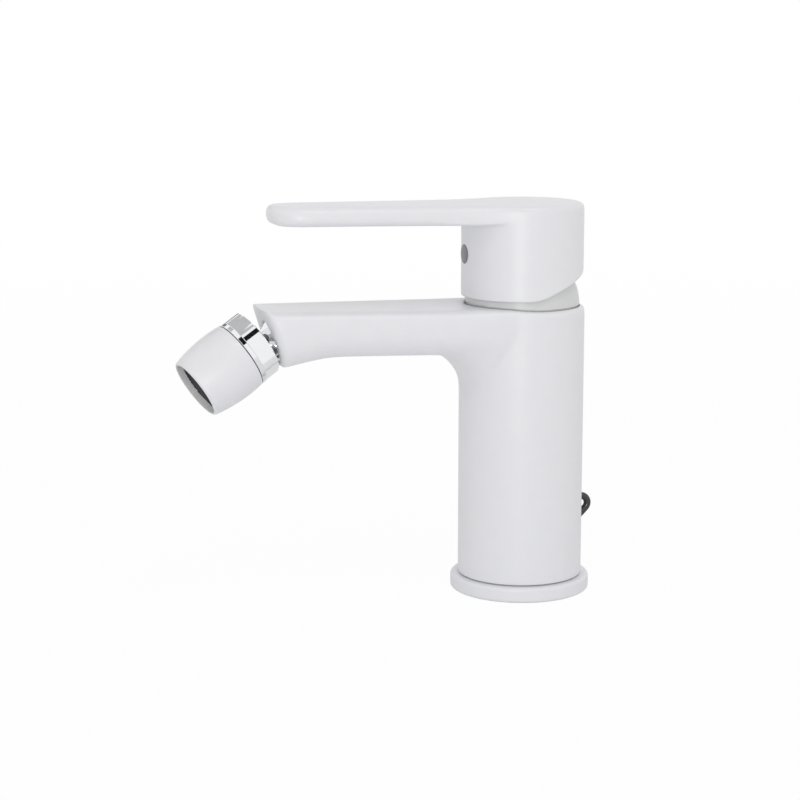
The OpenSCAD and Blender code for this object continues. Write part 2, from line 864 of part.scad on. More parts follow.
module index_plug() {
  color(grey_plastic)
    translate([0, 0, pivot_z + plug_z])
      rotate([90, 0, 0])
        difference() {
          rod(plug_r, hub_r - plug_l + seat_gap, hub_r + plug_proud);
          rod(plug_r - 1.2, hub_r - plug_l, hub_r - 1);
        }
}

// Ball joint and nozzle

module ball_stub() {
  cone_front = -ball_r + 0.2;
  color(chrome)
    at_stub()
      difference() {
        union() {
          rod(stub_thread_r, stub_back_z - stub_thread_l, stub_back_z + 0.5);
          rod(stub_collar_r, stub_back_z, stub_front_z);
          translate([0, 0, stub_front_z])
            cylinder(r1 = stub_collar_r - 0.2, r2 = stub_neck_r, h = cone_front - stub_front_z);
          rod(stub_neck_r, cone_front - 0.2, 0);
          sphere(r = ball_r);
        }
        rod(ball_bore_r, stub_back_z - stub_thread_l - 1, ball_r + 1);
      }
}

module stub_washer() {
  color(rubber)
    at_stub()
      tube(stub_collar_r, stub_thread_r + run_gap, stub_back_z - stub_washer_t, stub_back_z);
}

module friction_ring() {
  rear_angle = 58;
  front_angle = 84;
  color(grey_plastic)
    at_pitch()
      rotate_extrude()
        intersection() {
          difference() {
            circle(r = seat_r - run_gap);
            circle(r = ball_r + run_gap);
          }
          translate([0, -seat_r * cos(rear_angle)])
            square([seat_r, seat_r * (cos(rear_angle) - cos(front_angle))]);
        }
}

module cup_seal() {
  color(rubber)
    at_nozzle()
      difference() {
        tube(seat_r - run_gap, cup_hole_r, cup_back, cup_front);
        sphere(r = ball_r + run_gap);
      }
}

module swivel_nut() {
  lip_r = seat_r * sin(seat_lip);
  lip_z = -seat_r * cos(seat_lip);
  mouth_r = nut_r - nut_chamfer - 1.3;
  // The hexagon runs a little way into the collar
  grip_l = nut_flat_l + 0.5;
  color(chrome)
    at_nozzle()
      difference() {
        union() {
          intersection() {
            translate([0, 0, -nut_back])
              rotate([0, 0, 30])
                cylinder(r = nut_flats / sqrt(3), h = grip_l, $fn = 6);
            translate([0, 0, -nut_back])
              cylinder(r1 = nut_r - nut_chamfer, r2 = nut_r - nut_chamfer + 2 * grip_l, h = grip_l);
            rod(nut_r, -nut_back - 1, nut_front);
          }
          rod(nut_r, nut_flat_l - nut_back, nut_front);
          rod(nut_spigot_r, nut_front - 0.5, nut_front + nut_spigot_l);
        }
        sphere(r = seat_r);
        rod(seat_r, 0, nut_front + nut_spigot_l + 1);
        rod(lip_r, -nut_back - 1, 0);
        translate([0, 0, -nut_back - eps])
          cylinder(r1 = mouth_r, r2 = lip_r, h = nut_back + lip_z);
      }
}

// Half outline of the sleeve: a barrel that narrows to a rounded outlet
module sleeve_half() {
  steps = 16;
  lip = 1.1;
  wall_at = [for (i = [0:steps])
               let (t = i / steps)
               [nut_r + (outlet_r - nut_r) * t * t + sleeve_swell * 4 * t * (1 - t),
                nut_front + (sleeve_l - lip) * t]];
  lip_at = [for (a = [15:15:90]) [outlet_r - lip + lip * cos(a), outlet_z - lip + lip * sin(a)]];
  polygon(concat([[0, nut_front]], wall_at, lip_at, [[0, outlet_z]]));
}

module nozzle_sleeve() {
  color(white_paint)
    at_nozzle()
      difference() {
        rotate_extrude()
          sleeve_half();
        rod(nut_spigot_r + run_gap, nut_front - 1, ledge_z);
        rod(cup_hole_r + 1.5, ledge_z - 1, ledge_z + ledge_t + 1);
        rod(aerator_r, ledge_z + ledge_t, outlet_z + 1);
      }
}

module aerator_seal() {
  color(rubber)
    at_nozzle()
      tube(aerator_r - seat_gap, cup_hole_r + 1.5, ledge_z + ledge_t, aerator_back);
}

module aerator_body() {
  jet_r = 0.8;
  jets = 12;
  color(grey_plastic)
    at_nozzle()
      difference() {
        rod(aerator_r - seat_gap, aerator_back, aerator_front);
        rod(aerator_r - aerator_wall, aerator_back + 1.5, aerator_front + 1);
        for (i = [0:jets - 1])
          rotate([0, 0, i * 360 / jets])
            translate([cup_hole_r - 0.6, 0, 0])
              rod(jet_r, aerator_back - 1, aerator_back + 2);
      }
}

module aerator_screen() {
  pitch = 2;
  hole_r = 0.7;
  reach = aerator_r - aerator_wall - 1;
  rows = floor(reach / pitch);
  color(steel)
    at_nozzle()
      difference() {
        rod(aerator_r - aerator_wall - seat_gap, screen_z - screen_t, screen_z);
        for (i = [-rows:rows], j = [-rows:rows])
          if (norm([i, j]) * pitch + hole_r < reach)
            translate([i * pitch, j * pitch, 0])
              rod(hole_r, screen_z - screen_t - 1, screen_z + 1);
      }
}

body_casting();
base_ring();
base_seal();
chain_eyelet();
cartridge_base();
inlet_seals();
disc_seals();
fixed_disc();
cartridge_housing();
housing_seal();
moving_disc();
disc_carrier();
spindle_turret();
pivot_pin();
lever_spindle();
cartridge_nut();
cap_seal();
dome_cap();
lever_handle();
set_screw();
index_plug();
ball_stub();
stub_washer();
friction_ring();
cup_seal();
swivel_nut();
nozzle_sleeve();
aerator_seal();
aerator_body();
aerator_screen();
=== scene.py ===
"""Looks of a single-lever bidet mixer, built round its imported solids.

Lengths are in metres, in the frame of the solids: the deck is at z = 0 and the spout points along -Y.
"""

import json
import logging
from collections.abc import Callable
from dataclasses import dataclass, field, replace
from enum import Enum
from math import acos, asin, atan2, copysign, cos, pi, radians, sin, sqrt, tan, tau

import bmesh
import bpy
from mathutils import Matrix, Vector

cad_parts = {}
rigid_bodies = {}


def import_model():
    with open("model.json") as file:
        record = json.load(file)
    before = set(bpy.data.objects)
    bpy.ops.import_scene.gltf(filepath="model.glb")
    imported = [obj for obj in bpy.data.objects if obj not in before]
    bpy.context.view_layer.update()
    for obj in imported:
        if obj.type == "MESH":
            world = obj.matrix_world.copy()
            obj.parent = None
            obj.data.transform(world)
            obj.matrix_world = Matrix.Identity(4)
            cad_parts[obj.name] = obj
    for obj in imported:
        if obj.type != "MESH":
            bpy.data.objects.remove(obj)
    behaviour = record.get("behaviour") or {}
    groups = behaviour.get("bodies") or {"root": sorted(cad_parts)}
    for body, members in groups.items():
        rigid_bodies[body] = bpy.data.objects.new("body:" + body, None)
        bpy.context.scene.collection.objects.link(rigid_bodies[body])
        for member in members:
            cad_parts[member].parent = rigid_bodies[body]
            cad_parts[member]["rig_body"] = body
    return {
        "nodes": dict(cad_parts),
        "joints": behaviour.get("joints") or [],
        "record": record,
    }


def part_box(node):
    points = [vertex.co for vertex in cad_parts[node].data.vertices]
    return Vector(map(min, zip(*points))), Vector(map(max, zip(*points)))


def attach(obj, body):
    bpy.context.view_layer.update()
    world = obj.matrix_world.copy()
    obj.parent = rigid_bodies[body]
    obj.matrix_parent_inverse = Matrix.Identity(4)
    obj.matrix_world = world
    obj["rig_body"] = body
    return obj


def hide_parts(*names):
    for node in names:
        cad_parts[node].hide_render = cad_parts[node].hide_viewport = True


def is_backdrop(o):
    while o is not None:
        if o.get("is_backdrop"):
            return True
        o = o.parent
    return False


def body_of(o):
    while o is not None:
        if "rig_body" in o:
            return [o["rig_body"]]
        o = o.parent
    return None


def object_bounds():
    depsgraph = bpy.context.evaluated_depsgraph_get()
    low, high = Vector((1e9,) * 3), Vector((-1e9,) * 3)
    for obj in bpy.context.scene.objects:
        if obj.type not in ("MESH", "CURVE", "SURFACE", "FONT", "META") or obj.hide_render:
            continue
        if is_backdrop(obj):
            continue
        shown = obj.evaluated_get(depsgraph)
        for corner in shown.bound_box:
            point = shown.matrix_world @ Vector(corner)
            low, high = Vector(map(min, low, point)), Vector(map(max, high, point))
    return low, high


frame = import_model()
CAD_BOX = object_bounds()

MM = 0.001
LOG = logging.getLogger("bidet_mixer")
RIGHT_ANGLE = radians(90)
HALF_SIDE = radians(30)
SHARP = 40.0
SEEN_RAYS = ("Is Camera Ray", "Is Glossy Ray", "Is Transmission Ray")

Colour = tuple[float, float, float]
Piece = bpy.types.Object
Socket = bpy.types.NodeSocket
Rule = Callable[[int, int], Vector]


def clear_selection() -> None:
    """Leaves edit mode and deselects everything."""
    if bpy.context.mode != "OBJECT":
        bpy.ops.object.mode_set(mode="OBJECT")
    bpy.ops.object.select_all(action="DESELECT")


def make_active(piece: Piece) -> None:
    """Selects one piece alone and makes it the active one."""
    clear_selection()
    piece.select_set(True)
    bpy.context.view_layer.objects.active = piece


def apply_modifier(piece: Piece, kind: str, **settings: object) -> None:
    """Adds a modifier to a piece and applies it at once.

    Args:
        piece: The piece to change.
        kind: Blender's name for the kind of modifier.
        settings: Values for the modifier's own settings.
    """
    make_active(piece)
    modifier = piece.modifiers.new(kind.lower(), kind)
    for key, value in settings.items():
        setattr(modifier, key, value)
    bpy.ops.object.modifier_apply(modifier=modifier.name)


def smooth(piece: Piece, angle: float = SHARP) -> None:
    """Shades a piece smooth, apart from edges sharper than an angle in degrees."""
    make_active(piece)
    bpy.ops.object.shade_smooth_by_angle(angle=radians(angle))


def blend_in(value: float, low: float, high: float) -> float:
    """Rises smoothly from 0 at low to 1 at high."""
    t = min(max((value - low) / (high - low), 0.0), 1.0)
    return t * t * (3 - 2 * t)


class Pattern(Enum):
    """How a finish varies over a surface, by the stretch of its grain where it has one."""

    SPECKLED = (1.0, 1.0, 1.0)
    BRUSHED = (1.0, 1.0, 0.06)
    TURNED = None


class Graph:
    """The nodes of a material or of the world."""

    def __init__(self, owner: bpy.types.Material | bpy.types.World) -> None:
        """Turns the owner's nodes on."""
        owner.use_nodes = True
        self.nodes = owner.node_tree.nodes
        self.links = owner.node_tree.links

    def fill(self, node: bpy.types.Node, inputs: dict) -> None:
        """Sets a node's inputs: a socket is linked to its input, any other value is written there."""
        for key, value in inputs.items():
            if isinstance(value, Socket):
                self.links.new(value, node.inputs[key])
            else:
                node.inputs[key].default_value = value

    def add(self, kind: str, inputs: dict | None = None, **settings: object) -> bpy.types.Node:
        """Adds a node.

        Args:
            kind: Blender's name for the kind of node, without its first word.
            inputs: Sockets or values for the node's inputs.
            settings: Values for the node's own settings.

        Returns:
            The new node.
        """
        node = self.nodes.new("ShaderNode" + kind)
        for key, value in settings.items():
            setattr(node, key, value)
        self.fill(node, inputs or {})
        return node

    def greatest(self, first: Socket, *more: Socket) -> Socket:
        """A socket with the greatest of some values."""
        for value in more:
            first = self.add("Math", {0: first, 1: value}, operation="MAXIMUM").outputs[0]
        return first


@dataclass(frozen=True)
class Finish:
    """A procedural finish: two close colours, a band of roughness and a fine relief."""

    name: str
    colour: Colour
    tint: Colour
    rough: tuple[float, float]
    metallic: float = 0.0
    pattern: Pattern = Pattern.SPECKLED
    grain: float = 260.0
    relief: float = 0.02 * MM
    relief_scale: float = 900.0
    coat: float = 0.0
    coat_rough: float = 0.1

    def material(self) -> bpy.types.Material:
        """Builds the finish's material.

        Returns:
            The material, made once and found again by its name.
        """
        found = bpy.data.materials.get(self.name)
        if found:
            return found
        material = bpy.data.materials.new(self.name)
        graph = Graph(material)
        place = graph.add("TexCoord").outputs["Object"]
        grain = self._grain(graph, place)
        colours = {"A": (*self.colour, 1.0), "B": (*self.tint, 1.0), "Factor": grain}
        tone = graph.add("Mix", colours, data_type="RGBA")
        gloss = graph.add("MapRange", {"To Min": self.rough[0], "To Max": self.rough[1], "Value": grain})
        fine = graph.add("TexNoise", {"Scale": self.relief_scale, "Detail": 2.0, "Vector": place})
        bump = graph.add(
            "Bump", {"Strength": 1.0, "Distance": self.relief, "Height": fine.outputs["Fac"]}
        )
        graph.fill(graph.nodes["Principled BSDF"], {
            "Metallic": self.metallic,
            "Coat Weight": self.coat,
            "Coat Roughness": self.coat_rough,
            "Base Color": tone.outputs["Result"],
            "Roughness": gloss.outputs["Result"],
            "Normal": bump.outputs["Normal"],
        })
        return material

    def _grain(self, graph: Graph, place: Socket) -> Socket:
        """Adds the texture that the pattern asks for.

        Args:
            graph: The material's nodes.
            place: The socket that gives object coordinates.

        Returns:
            A socket with values between 0 and 1.
        """
        if self.pattern is Pattern.TURNED:
            rings = graph.add(
                "TexWave", {"Scale": self.grain, "Distortion": 0.6, "Vector": place},
                wave_type="RINGS", rings_direction="Z",
            )
            return rings.outputs["Fac"]
        stretched = graph.add("Mapping", {"Scale": self.pattern.value, "Vector": place}).outputs["Vector"]
        noise = graph.add("TexNoise", {"Scale": self.grain, "Detail": 3.0, "Vector": stretched})
        return noise.outputs["Fac"]

    def dress(self, piece: Piece) -> None:
        """Gives a piece this finish all over."""
        piece.data.materials.clear()
        piece.data.materials.append(self.material())


class Finishes:
    """The finishes of the mixer."""

    WHITE_PAINT = Finish(
        "satin_white_paint", (0.80, 0.80, 0.825), (0.77, 0.77, 0.80), (0.34, 0.42), grain=180.0,
        relief=0.006 * MM, relief_scale=620.0, coat=0.15, coat_rough=0.3,
    )
    # The body's white paint made darker: painted shade, standing in for the shade that the hub and lever
    # cast on the dome.
    DOME_WHITE_PAINTED_SHADE = replace(
        WHITE_PAINT, name="satin_white_dome_painted_shade", colour=(0.675, 0.68, 0.675), tint=(0.645, 0.65, 0.645),
    )
    CHROME = Finish(
        "polished_chrome", (0.88, 0.885, 0.90), (0.85, 0.855, 0.87), (0.04, 0.08), metallic=1.0,
        relief=0.0008 * MM,
    )
    DARK_CHROME = Finish(
        "smoked_chrome", (0.085, 0.085, 0.088), (0.065, 0.065, 0.068), (0.16, 0.26), metallic=1.0,
    )
    BRASS = Finish(
        "turned_brass", (0.62, 0.44, 0.17), (0.55, 0.38, 0.14), (0.22, 0.36), metallic=1.0,
        pattern=Pattern.TURNED, grain=420.0,
    )
    STEEL = Finish(
        "bright_steel", (0.46, 0.47, 0.49), (0.38, 0.39, 0.41), (0.20, 0.34), metallic=1.0,
        pattern=Pattern.BRUSHED, grain=700.0,
    )
    RUBBER = Finish(
        "black_rubber", (0.012, 0.012, 0.013), (0.02, 0.02, 0.02), (0.6, 0.8), relief=0.03 * MM,
    )
    CARTRIDGE = Finish(
        "pale_cartridge", (0.64, 0.64, 0.60), (0.58, 0.58, 0.55), (0.38, 0.5), relief=0.01 * MM,
    )
    CERAMIC = Finish(
        "lapped_ceramic", (0.82, 0.80, 0.74), (0.78, 0.76, 0.70), (0.12, 0.2), relief=0.002 * MM,
    )
    GREY_PLASTIC = Finish(
        "moulded_grey", (0.64, 0.64, 0.645), (0.58, 0.58, 0.585), (0.32, 0.45), relief=0.008 * MM,
    )
    PLUG_GREY = Finish(
        "plug_grey", (0.21, 0.21, 0.22), (0.18, 0.18, 0.19), (0.3, 0.4), relief=0.006 * MM,
    )
    # Steel made much darker than the steel slot's finish: painted shade, standing in for the shade deep
    # inside the outlet where the screen sits.
    SCREEN_STEEL_PAINTED_SHADE = Finish(
        "screen_steel_painted_shade", (0.10, 0.10, 0.10), (0.07, 0.07, 0.07), (0.3, 0.45), metallic=1.0,
    )

    BY_SLOT = {
        "white_paint": WHITE_PAINT,
        "chrome": CHROME,
        "dark_chrome": DARK_CHROME,
        "brass": BRASS,
        "steel": STEEL,
        "rubber": RUBBER,
        "cartridge_plastic": CARTRIDGE,
        "ceramic": CERAMIC,
        "grey_plastic": GREY_PLASTIC,
    }

    @classmethod
    def dress_solids(cls) -> None:
        """Gives every solid of the frame the finish of its material slot."""
        for entry in frame["record"]["subparts"]:
            cls.BY_SLOT[entry["material_slot"]].dress(frame["nodes"][entry["node"]])


class Skin:
    """A closed mesh that is drawn out ring by ring in edit mode.

    Every vertex carries its column and its row, so a rule can say where it goes.
    """

    def __init__(self, name: str, columns: int, rules: list[Rule]) -> None:
        """Draws all rings out, from one cap to the other.

        Args:
            name: The piece's name.
            columns: How many vertices a ring has.
            rules: Where each ring's vertices go.
        """
        clear_selection()
        bpy.ops.mesh.primitive_circle_add(vertices=columns, radius=1.0, fill_type="NGON")
        self.piece = bpy.context.object
        self.piece.name = name
        self.piece.data.name = name
        bpy.ops.object.mode_set(mode="EDIT")
        bpy.ops.mesh.select_mode(type="FACE")
        bpy.ops.mesh.select_all(action="SELECT")
        mesh = bmesh.from_edit_mesh(self.piece.data)
        column = mesh.verts.layers.int.new("column")
        mesh.verts.layers.int.new("row")
        for vert in mesh.verts:
            turn = atan2(vert.co.x, -vert.co.y) / tau * columns
            vert[column] = round(turn)
        self._place(rules[0], 0)
        for row, rule in enumerate(rules[1:], 1):
            bpy.ops.mesh.extrude_region_move()
            self._place(rule, row)

    def _layers(self) -> tuple:
        """The mesh in edit mode, with its layers of columns and rows."""
        mesh = bmesh.from_edit_mesh(self.piece.data)
        return mesh, mesh.verts.layers.int["column"], mesh.verts.layers.int["row"]

    def _place(self, rule: Rule, row: int | None) -> None:
        """Puts the selected vertices where a rule says.

        Args:
            rule: Gives the place of a vertex by its column and row.
            row: The row that the vertices are given first, or None to keep theirs.
        """
        mesh, columns, rows = self._layers()
        for vert in mesh.verts:
            if vert.select:
                if row is not None:
                    vert[rows] = row
                vert.co = rule(vert[columns], vert[rows])
        bmesh.update_edit_mesh(self.piece.data)

    def select_block(self, reach: int, low_row: int, high_row: int) -> None:
        """Selects the faces that lie within some columns of the front and between two rows."""
        bpy.ops.mesh.select_all(action="DESELECT")
        mesh, columns, rows = self._layers()
        for face in mesh.faces:
            inside = all(
                abs(vert[columns]) <= reach and low_row <= vert[rows] <= high_row
                for vert in face.verts
            )
            face.select_set(inside)
        bmesh.update_edit_mesh(self.piece.data)

    def draw_block(self, rule: Rule) -> None:
        """Draws the selected block of faces out, with its columns and rows kept."""
        bpy.ops.mesh.extrude_region_move()
        self._place(rule, None)

    def open_through(self) -> None:
        """Takes both caps away and joins the first ring to the last, round a bore."""
        mesh = bmesh.from_edit_mesh(self.piece.data)
        for face in mesh.faces:
            face.select_set(len(face.verts) > 4)
        bmesh.update_edit_mesh(self.piece.data)
        bpy.ops.mesh.delete(type="ONLY_FACE")
        bpy.ops.mesh.select_mode(type="EDGE")
        bpy.ops.mesh.select_all(action="DESELECT")
        bpy.ops.mesh.select_non_manifold()
        bpy.ops.mesh.bridge_edge_loops()

    def finish(self, levels: int = 0, sharp: float = SHARP) -> Piece:
        """Turns the faces outwards, rounds the skin and leaves edit mode.

        Args:
            levels: How often the skin is subdivided.
            sharp: Edges sharper than this angle in degrees stay sharp.

        Returns:
            The finished piece.
        """
        bpy.ops.mesh.select_all(action="SELECT")
        bpy.ops.mesh.normals_make_consistent(inside=False)
        clear_selection()
        if levels:
            apply_modifier(self.piece, "SUBSURF", levels=levels, render_levels=levels)
        smooth(self.piece, sharp)
        for layer in ("column", "row"):
            self.piece.data.attributes.remove(self.piece.data.attributes[layer])
        return self.piece


@dataclass
class Turned:
    """A round piece, drawn out ring by ring from its half outline.

    Attributes:
        name: The piece's name.
        profile: Radius and height of each ring, from cap to cap.
        place: Puts the piece's own axis, +Z, in its place.
        columns: How many vertices each ring has.
        hollow: Whether a bore joins the last ring to the first.
        flats: Distance between the flats of a hexagon that limits some rings, if any.
        flat_rings: The rings that the hexagon limits.
        corner: How softly the hexagon turns into the round.
        sharp: Edges sharper than this angle in degrees stay sharp.
    """

    name: str
    profile: list[tuple[float, float]]
    place: Matrix
    columns: int = 120
    hollow: bool = False
    flats: float = 0.0
    flat_rings: range = range(0)
    corner: float = 0.3 * MM
    sharp: float = SHARP

    def ring(self, index: int) -> Rule:
        """The rule of one ring."""
        radius, height = self.profile[index]

        def at(column: int, _row: int) -> Vector:
            """Place of one vertex of the ring."""
            turn = tau * column / self.columns
            reach = radius
            if index in self.flat_rings:
                off = (turn + HALF_SIDE) % (2 * HALF_SIDE) - HALF_SIDE
                flat = self.flats / 2 / cos(off)
                near = max(self.corner - abs(radius - flat), 0.0)
                reach = min(radius, flat) - near * near / (4 * self.corner)
            return self.place @ Vector((reach * cos(turn), reach * sin(turn), height))

        return at

    def build(self) -> Piece:
        """Models the piece.

        Returns:
            The finished piece, with its place in its mesh.
        """
        skin = Skin(self.name, self.columns, [self.ring(index) for index in range(len(self.profile))])
        if self.hollow:
            skin.open_through()
        return skin.finish(sharp=self.sharp)


def arc(
    middle: tuple[float, float], radius: float, start: float, end: float, steps: int
) -> list[tuple[float, float]]:
    """Points of a round edge in a half outline, with angles in degrees.

    Args:
        middle: Radius and height of the edge's own middle.
        radius: Radius of the edge.
        start: Angle of the first point.
        end: Angle of the last point.
        steps: How many steps lead from the first point to the last.

    Returns:
        The points, the first and the last among them.
    """
    angles = [radians(start + (end - start) * i / steps) for i in range(steps + 1)]
    return [(middle[0] + radius * cos(a), middle[1] + radius * sin(a)) for a in angles]


def cut_round(
    piece: Piece, radius: float, length: float, place: Matrix, flare: float = 0.0
) -> None:
    """Cuts a round hole into a piece.

    Args:
        piece: The piece to cut.
        radius: Radius of the hole.
        length: Length of the cutter along its own Z, from the place's origin.
        place: Where the cutter stands.
        flare: How much wider the cutter is at its far end.
    """
    clear_selection()
    bpy.ops.mesh.primitive_cone_add(vertices=96, radius1=radius, radius2=radius + flare, depth=length)
    cutter = bpy.context.object
    cutter.data.transform(place @ Matrix.Translation((0, 0, length / 2)))
    apply_modifier(piece, "BOOLEAN", operation="DIFFERENCE", solver="EXACT", object=cutter)
    bpy.data.objects.remove(cutter)


@dataclass
class Station:
    """One ring of an arm.

    Attributes:
        s: Distance from the drum's axis where the ring is level with the arm's end.
        follow: How much the ring follows the drum's wall instead, from 0 to 1.
        ahead: How far in front of the wall it then lies.
        slant: How much the ring leans with the arm's end, from 0 to 1.
        bend: How far the ring has come round the end's edge, from 0 to 1, if it lies there.
        inset: How far the ring is drawn in further.
    """

    s: float
    follow: float = 0.0
    ahead: float = 0.0
    slant: float = 0.0
    bend: float | None = None
    inset: float = 0.0

    def round_by(self, edge: float) -> tuple[float, float]:
        """How far the ring lies behind the end and is drawn in, on an edge of some rounding."""
        if self.bend is None:
            return 0.0, self.inset
        turn = RIGHT_ANGLE * self.bend
        return edge * (1 - sin(turn)), edge * (1 - cos(turn)) + self.inset


@dataclass
class DrumWithArm:
    """A round drum whose front faces are drawn out into a tapered arm with round edges."""

    name: str
    drum_r: float
    arm_top: float
    arm_t: float
    arm_rise: float
    root_half: float
    tip_half: float
    tip_s: float
    flare: float
    top_edge: float
    low_edge: float
    root_edge: float
    drum_edge: float
    fillet: float
    reach: int
    columns: int = 48
    corner_steps: int = 5
    edge_rows: int = 4
    levels: int = 2
    fade: float = 1.5
    fillet_drop: float = 0.75
    edge_limit: float = 0.9
    face_tilt: float = 0.0
    lean_rounds: int = 3

    def column_turn(self, column: float) -> float:
        """Angle of a column from the front, in radians."""
        return tau * column / self.columns

    def on_drum(self, column: float, radius: float, z: float) -> Vector:
        """A point at some radius and height over a column."""
        turn = self.column_turn(column)
        return Vector((radius * sin(turn), -radius * cos(turn), z))

    def half_width(self, s: float) -> float:
        """Half the arm's width at a distance from the axis."""
        flare_x = self.root_half + self.flare
        flare_s = sqrt((self.drum_r + self.flare) ** 2 - flare_x**2)
        if s >= flare_s:
            share = (s - flare_s) / (self.tip_s - flare_s)
            return self.root_half + (self.tip_half - self.root_half) * share
        return flare_x - sqrt(self.flare**2 - min(flare_s - s, self.flare) ** 2)

    def top_at(self, s: float) -> float:
        """Height of the arm's top."""
        return self.arm_top + s * self.arm_rise

    def low_at(self, s: float) -> float:
        """Height of the arm's underside."""
        return self.top_at(s) - self.arm_t

    def corner_turn(self, column: int) -> float:
        """Angle round the lower corner, 0 on the flat underside and 90 degrees on the side."""
        flat = self.reach - self.corner_steps
        return RIGHT_ANGLE * max(abs(column) - flat, 0) / self.corner_steps

    def fillet_share(self, column: int) -> float:
        """How much of the fillet a column gets: all of it below, none at the sides."""
        if abs(column) >= self.reach:
            return 0.0
        return cos(self.corner_turn(column)) ** self.fade

    def fillet_depth(self, ahead: float) -> float:
        """How far the fillet hangs below the underside at a distance from the wall."""
        rest = self.fillet - min(max(ahead, 0.0), self.fillet)
        return self.fillet - sqrt(self.fillet**2 - rest**2)

    def joint_z(self, column: int) -> float:
        """Height where a column of the drum turns into the arm."""
        s = self.drum_r * cos(self.column_turn(column))
        corner = self.low_edge_at(s) * (1 - cos(min(self.corner_turn(column), RIGHT_ANGLE)))
        return self.low_at(s) + corner - self.fillet_drop * self.fillet * self.fillet_share(column)

    def low_edge_at(self, s: float) -> float:
        """Rounding of the arm's lower edges, which starts as the root's own."""
        share = blend_in(s, self.drum_r, 2 * self.drum_r)
        return self.root_edge + (self.low_edge - self.root_edge) * share

    def edge_at(self, s: float) -> float:
        """Rounding of the arm's upper edges, which starts as the drum's own."""
        share = blend_in(s, self.drum_r * 0.4, self.drum_r)
        return self.drum_edge + (self.top_edge - self.drum_edge) * share

    def section(self, column: int, row: int, s: float, inset: float) -> tuple[float, float]:
        """A point of the arm's section.

        Args:
            column: Column of the block, 0 in the middle.
            row: Row of the block, 0 below.
            s: Distance from the drum's axis.
            inset: How far the section is drawn in.

        Returns:
            The point's x and z.
        """
        half = self.half_width(s) - inset
        top = self.top_at(s) - inset
        low = self.low_at(s) + inset
        low_edge = min(self.low_edge_at(s), half * self.edge_limit)
        top_edge = min(self.edge_at(s), half * self.edge_limit, (top - low) * self.edge_limit / 2)
        side = copysign(1.0, column)
        turn = self.corner_turn(column)
        rise = min(low_edge, top - low - top_edge)
        flat = self.reach - self.corner_steps
        below_x = (half - low_edge) * min(abs(column) / flat, 1.0) + low_edge * sin(turn)
        below_z = low + rise * (1 - cos(turn))
        spread = sin(self.column_turn(abs(column))) / sin(self.column_turn(self.reach))
        above_x = (half - top_edge) * spread
        if abs(column) == self.reach and row > 0:
            bend = RIGHT_ANGLE * (row - 1) / (self.edge_rows - 1)
            x = half - top_edge * (1 - cos(bend))
            return side * x, top - top_edge * (1 - sin(bend))
        share = row / self.edge_rows
        return side * (below_x + (above_x - below_x) * share), below_z + (top - below_z) * share

    def end_edge(self, _column: int, _row: int) -> float:
        """Rounding of the end's edge at a vertex of the block."""
        return 0.0

    def arm_ring(self, station: Station, low_row: int) -> Rule:
        """The rule of one ring of the arm.

        Args:
            station: Where the ring lies.
            low_row: The drum's row that is the block's lowest.

        Returns:
            A rule for the block's vertices.
        """

        def at(column: int, row: int) -> Vector:
            """Place of one vertex of the block."""
            wall = self.drum_r * cos(self.column_turn(column))
            back, inset = station.round_by(self.end_edge(column, row - low_row))
            s = station.follow * (wall + station.ahead) + (1 - station.follow) * station.s - back
            end_top = self.top_at(self.tip_s)
            x, z = self.section(column, row - low_row, s, inset)
            for _ in range(self.lean_rounds):
                leant = s - station.slant * (end_top - z) * tan(self.face_tilt)
                x, z = self.section(column, row - low_row, leant, inset)
            if row == low_row:
                z -= self.fillet_share(column) * self.fillet_depth(leant - wall)
            return Vector((x, -leant, z))

        return at

    def level_ring(self, radius: float, z: float) -> Rule:
        """A level ring round the axis."""
        return lambda column, _row: self.on_drum(column, radius, z)

    def joint_ring(self, below: float = 0.0) -> Rule:
        """The ring where the drum turns into the arm, or one at some distance below it."""
        return lambda column, _row: self.on_drum(column, self.drum_r, self.joint_z(column) - below)

    def edge_rings(self, top: float, ring: Callable[[float, float], Rule]) -> list[Rule]:
        """Rules of the drum's round upper edge.

        Args:
            top: Height of the drum's top.
            ring: Makes the rule of a ring from its radius and height.

        Returns:
            The rules, from the wall to the top.
        """
        rules = []
        for step in range(self.edge_rows):
            bend = RIGHT_ANGLE * step / (self.edge_rows - 1)
            radius = self.drum_r - self.drum_edge * (1 - cos(bend))
            rules.append(ring(radius, top - self.drum_edge * (1 - sin(bend))))
        return rules

    def drum_rules(self) -> tuple[list[Rule], int]:
        """Rules of the drum's rows, and the row where the arm's block begins."""
        raise NotImplementedError

    def stations(self) -> list[Station]:
        """The arm's rings, from the drum to its end."""
        raise NotImplementedError

    def build(self) -> Piece:
        """Models the drum and draws its front faces out into the arm.

        Returns:
            The finished piece.
        """
        rules, low_row = self.drum_rules()
        skin = Skin(self.name, self.columns, rules)
        skin.select_block(self.reach, low_row, low_row + self.edge_rows)
        for station in self.stations():
            skin.draw_block(self.arm_ring(station, low_row))
        return skin.finish(self.levels)


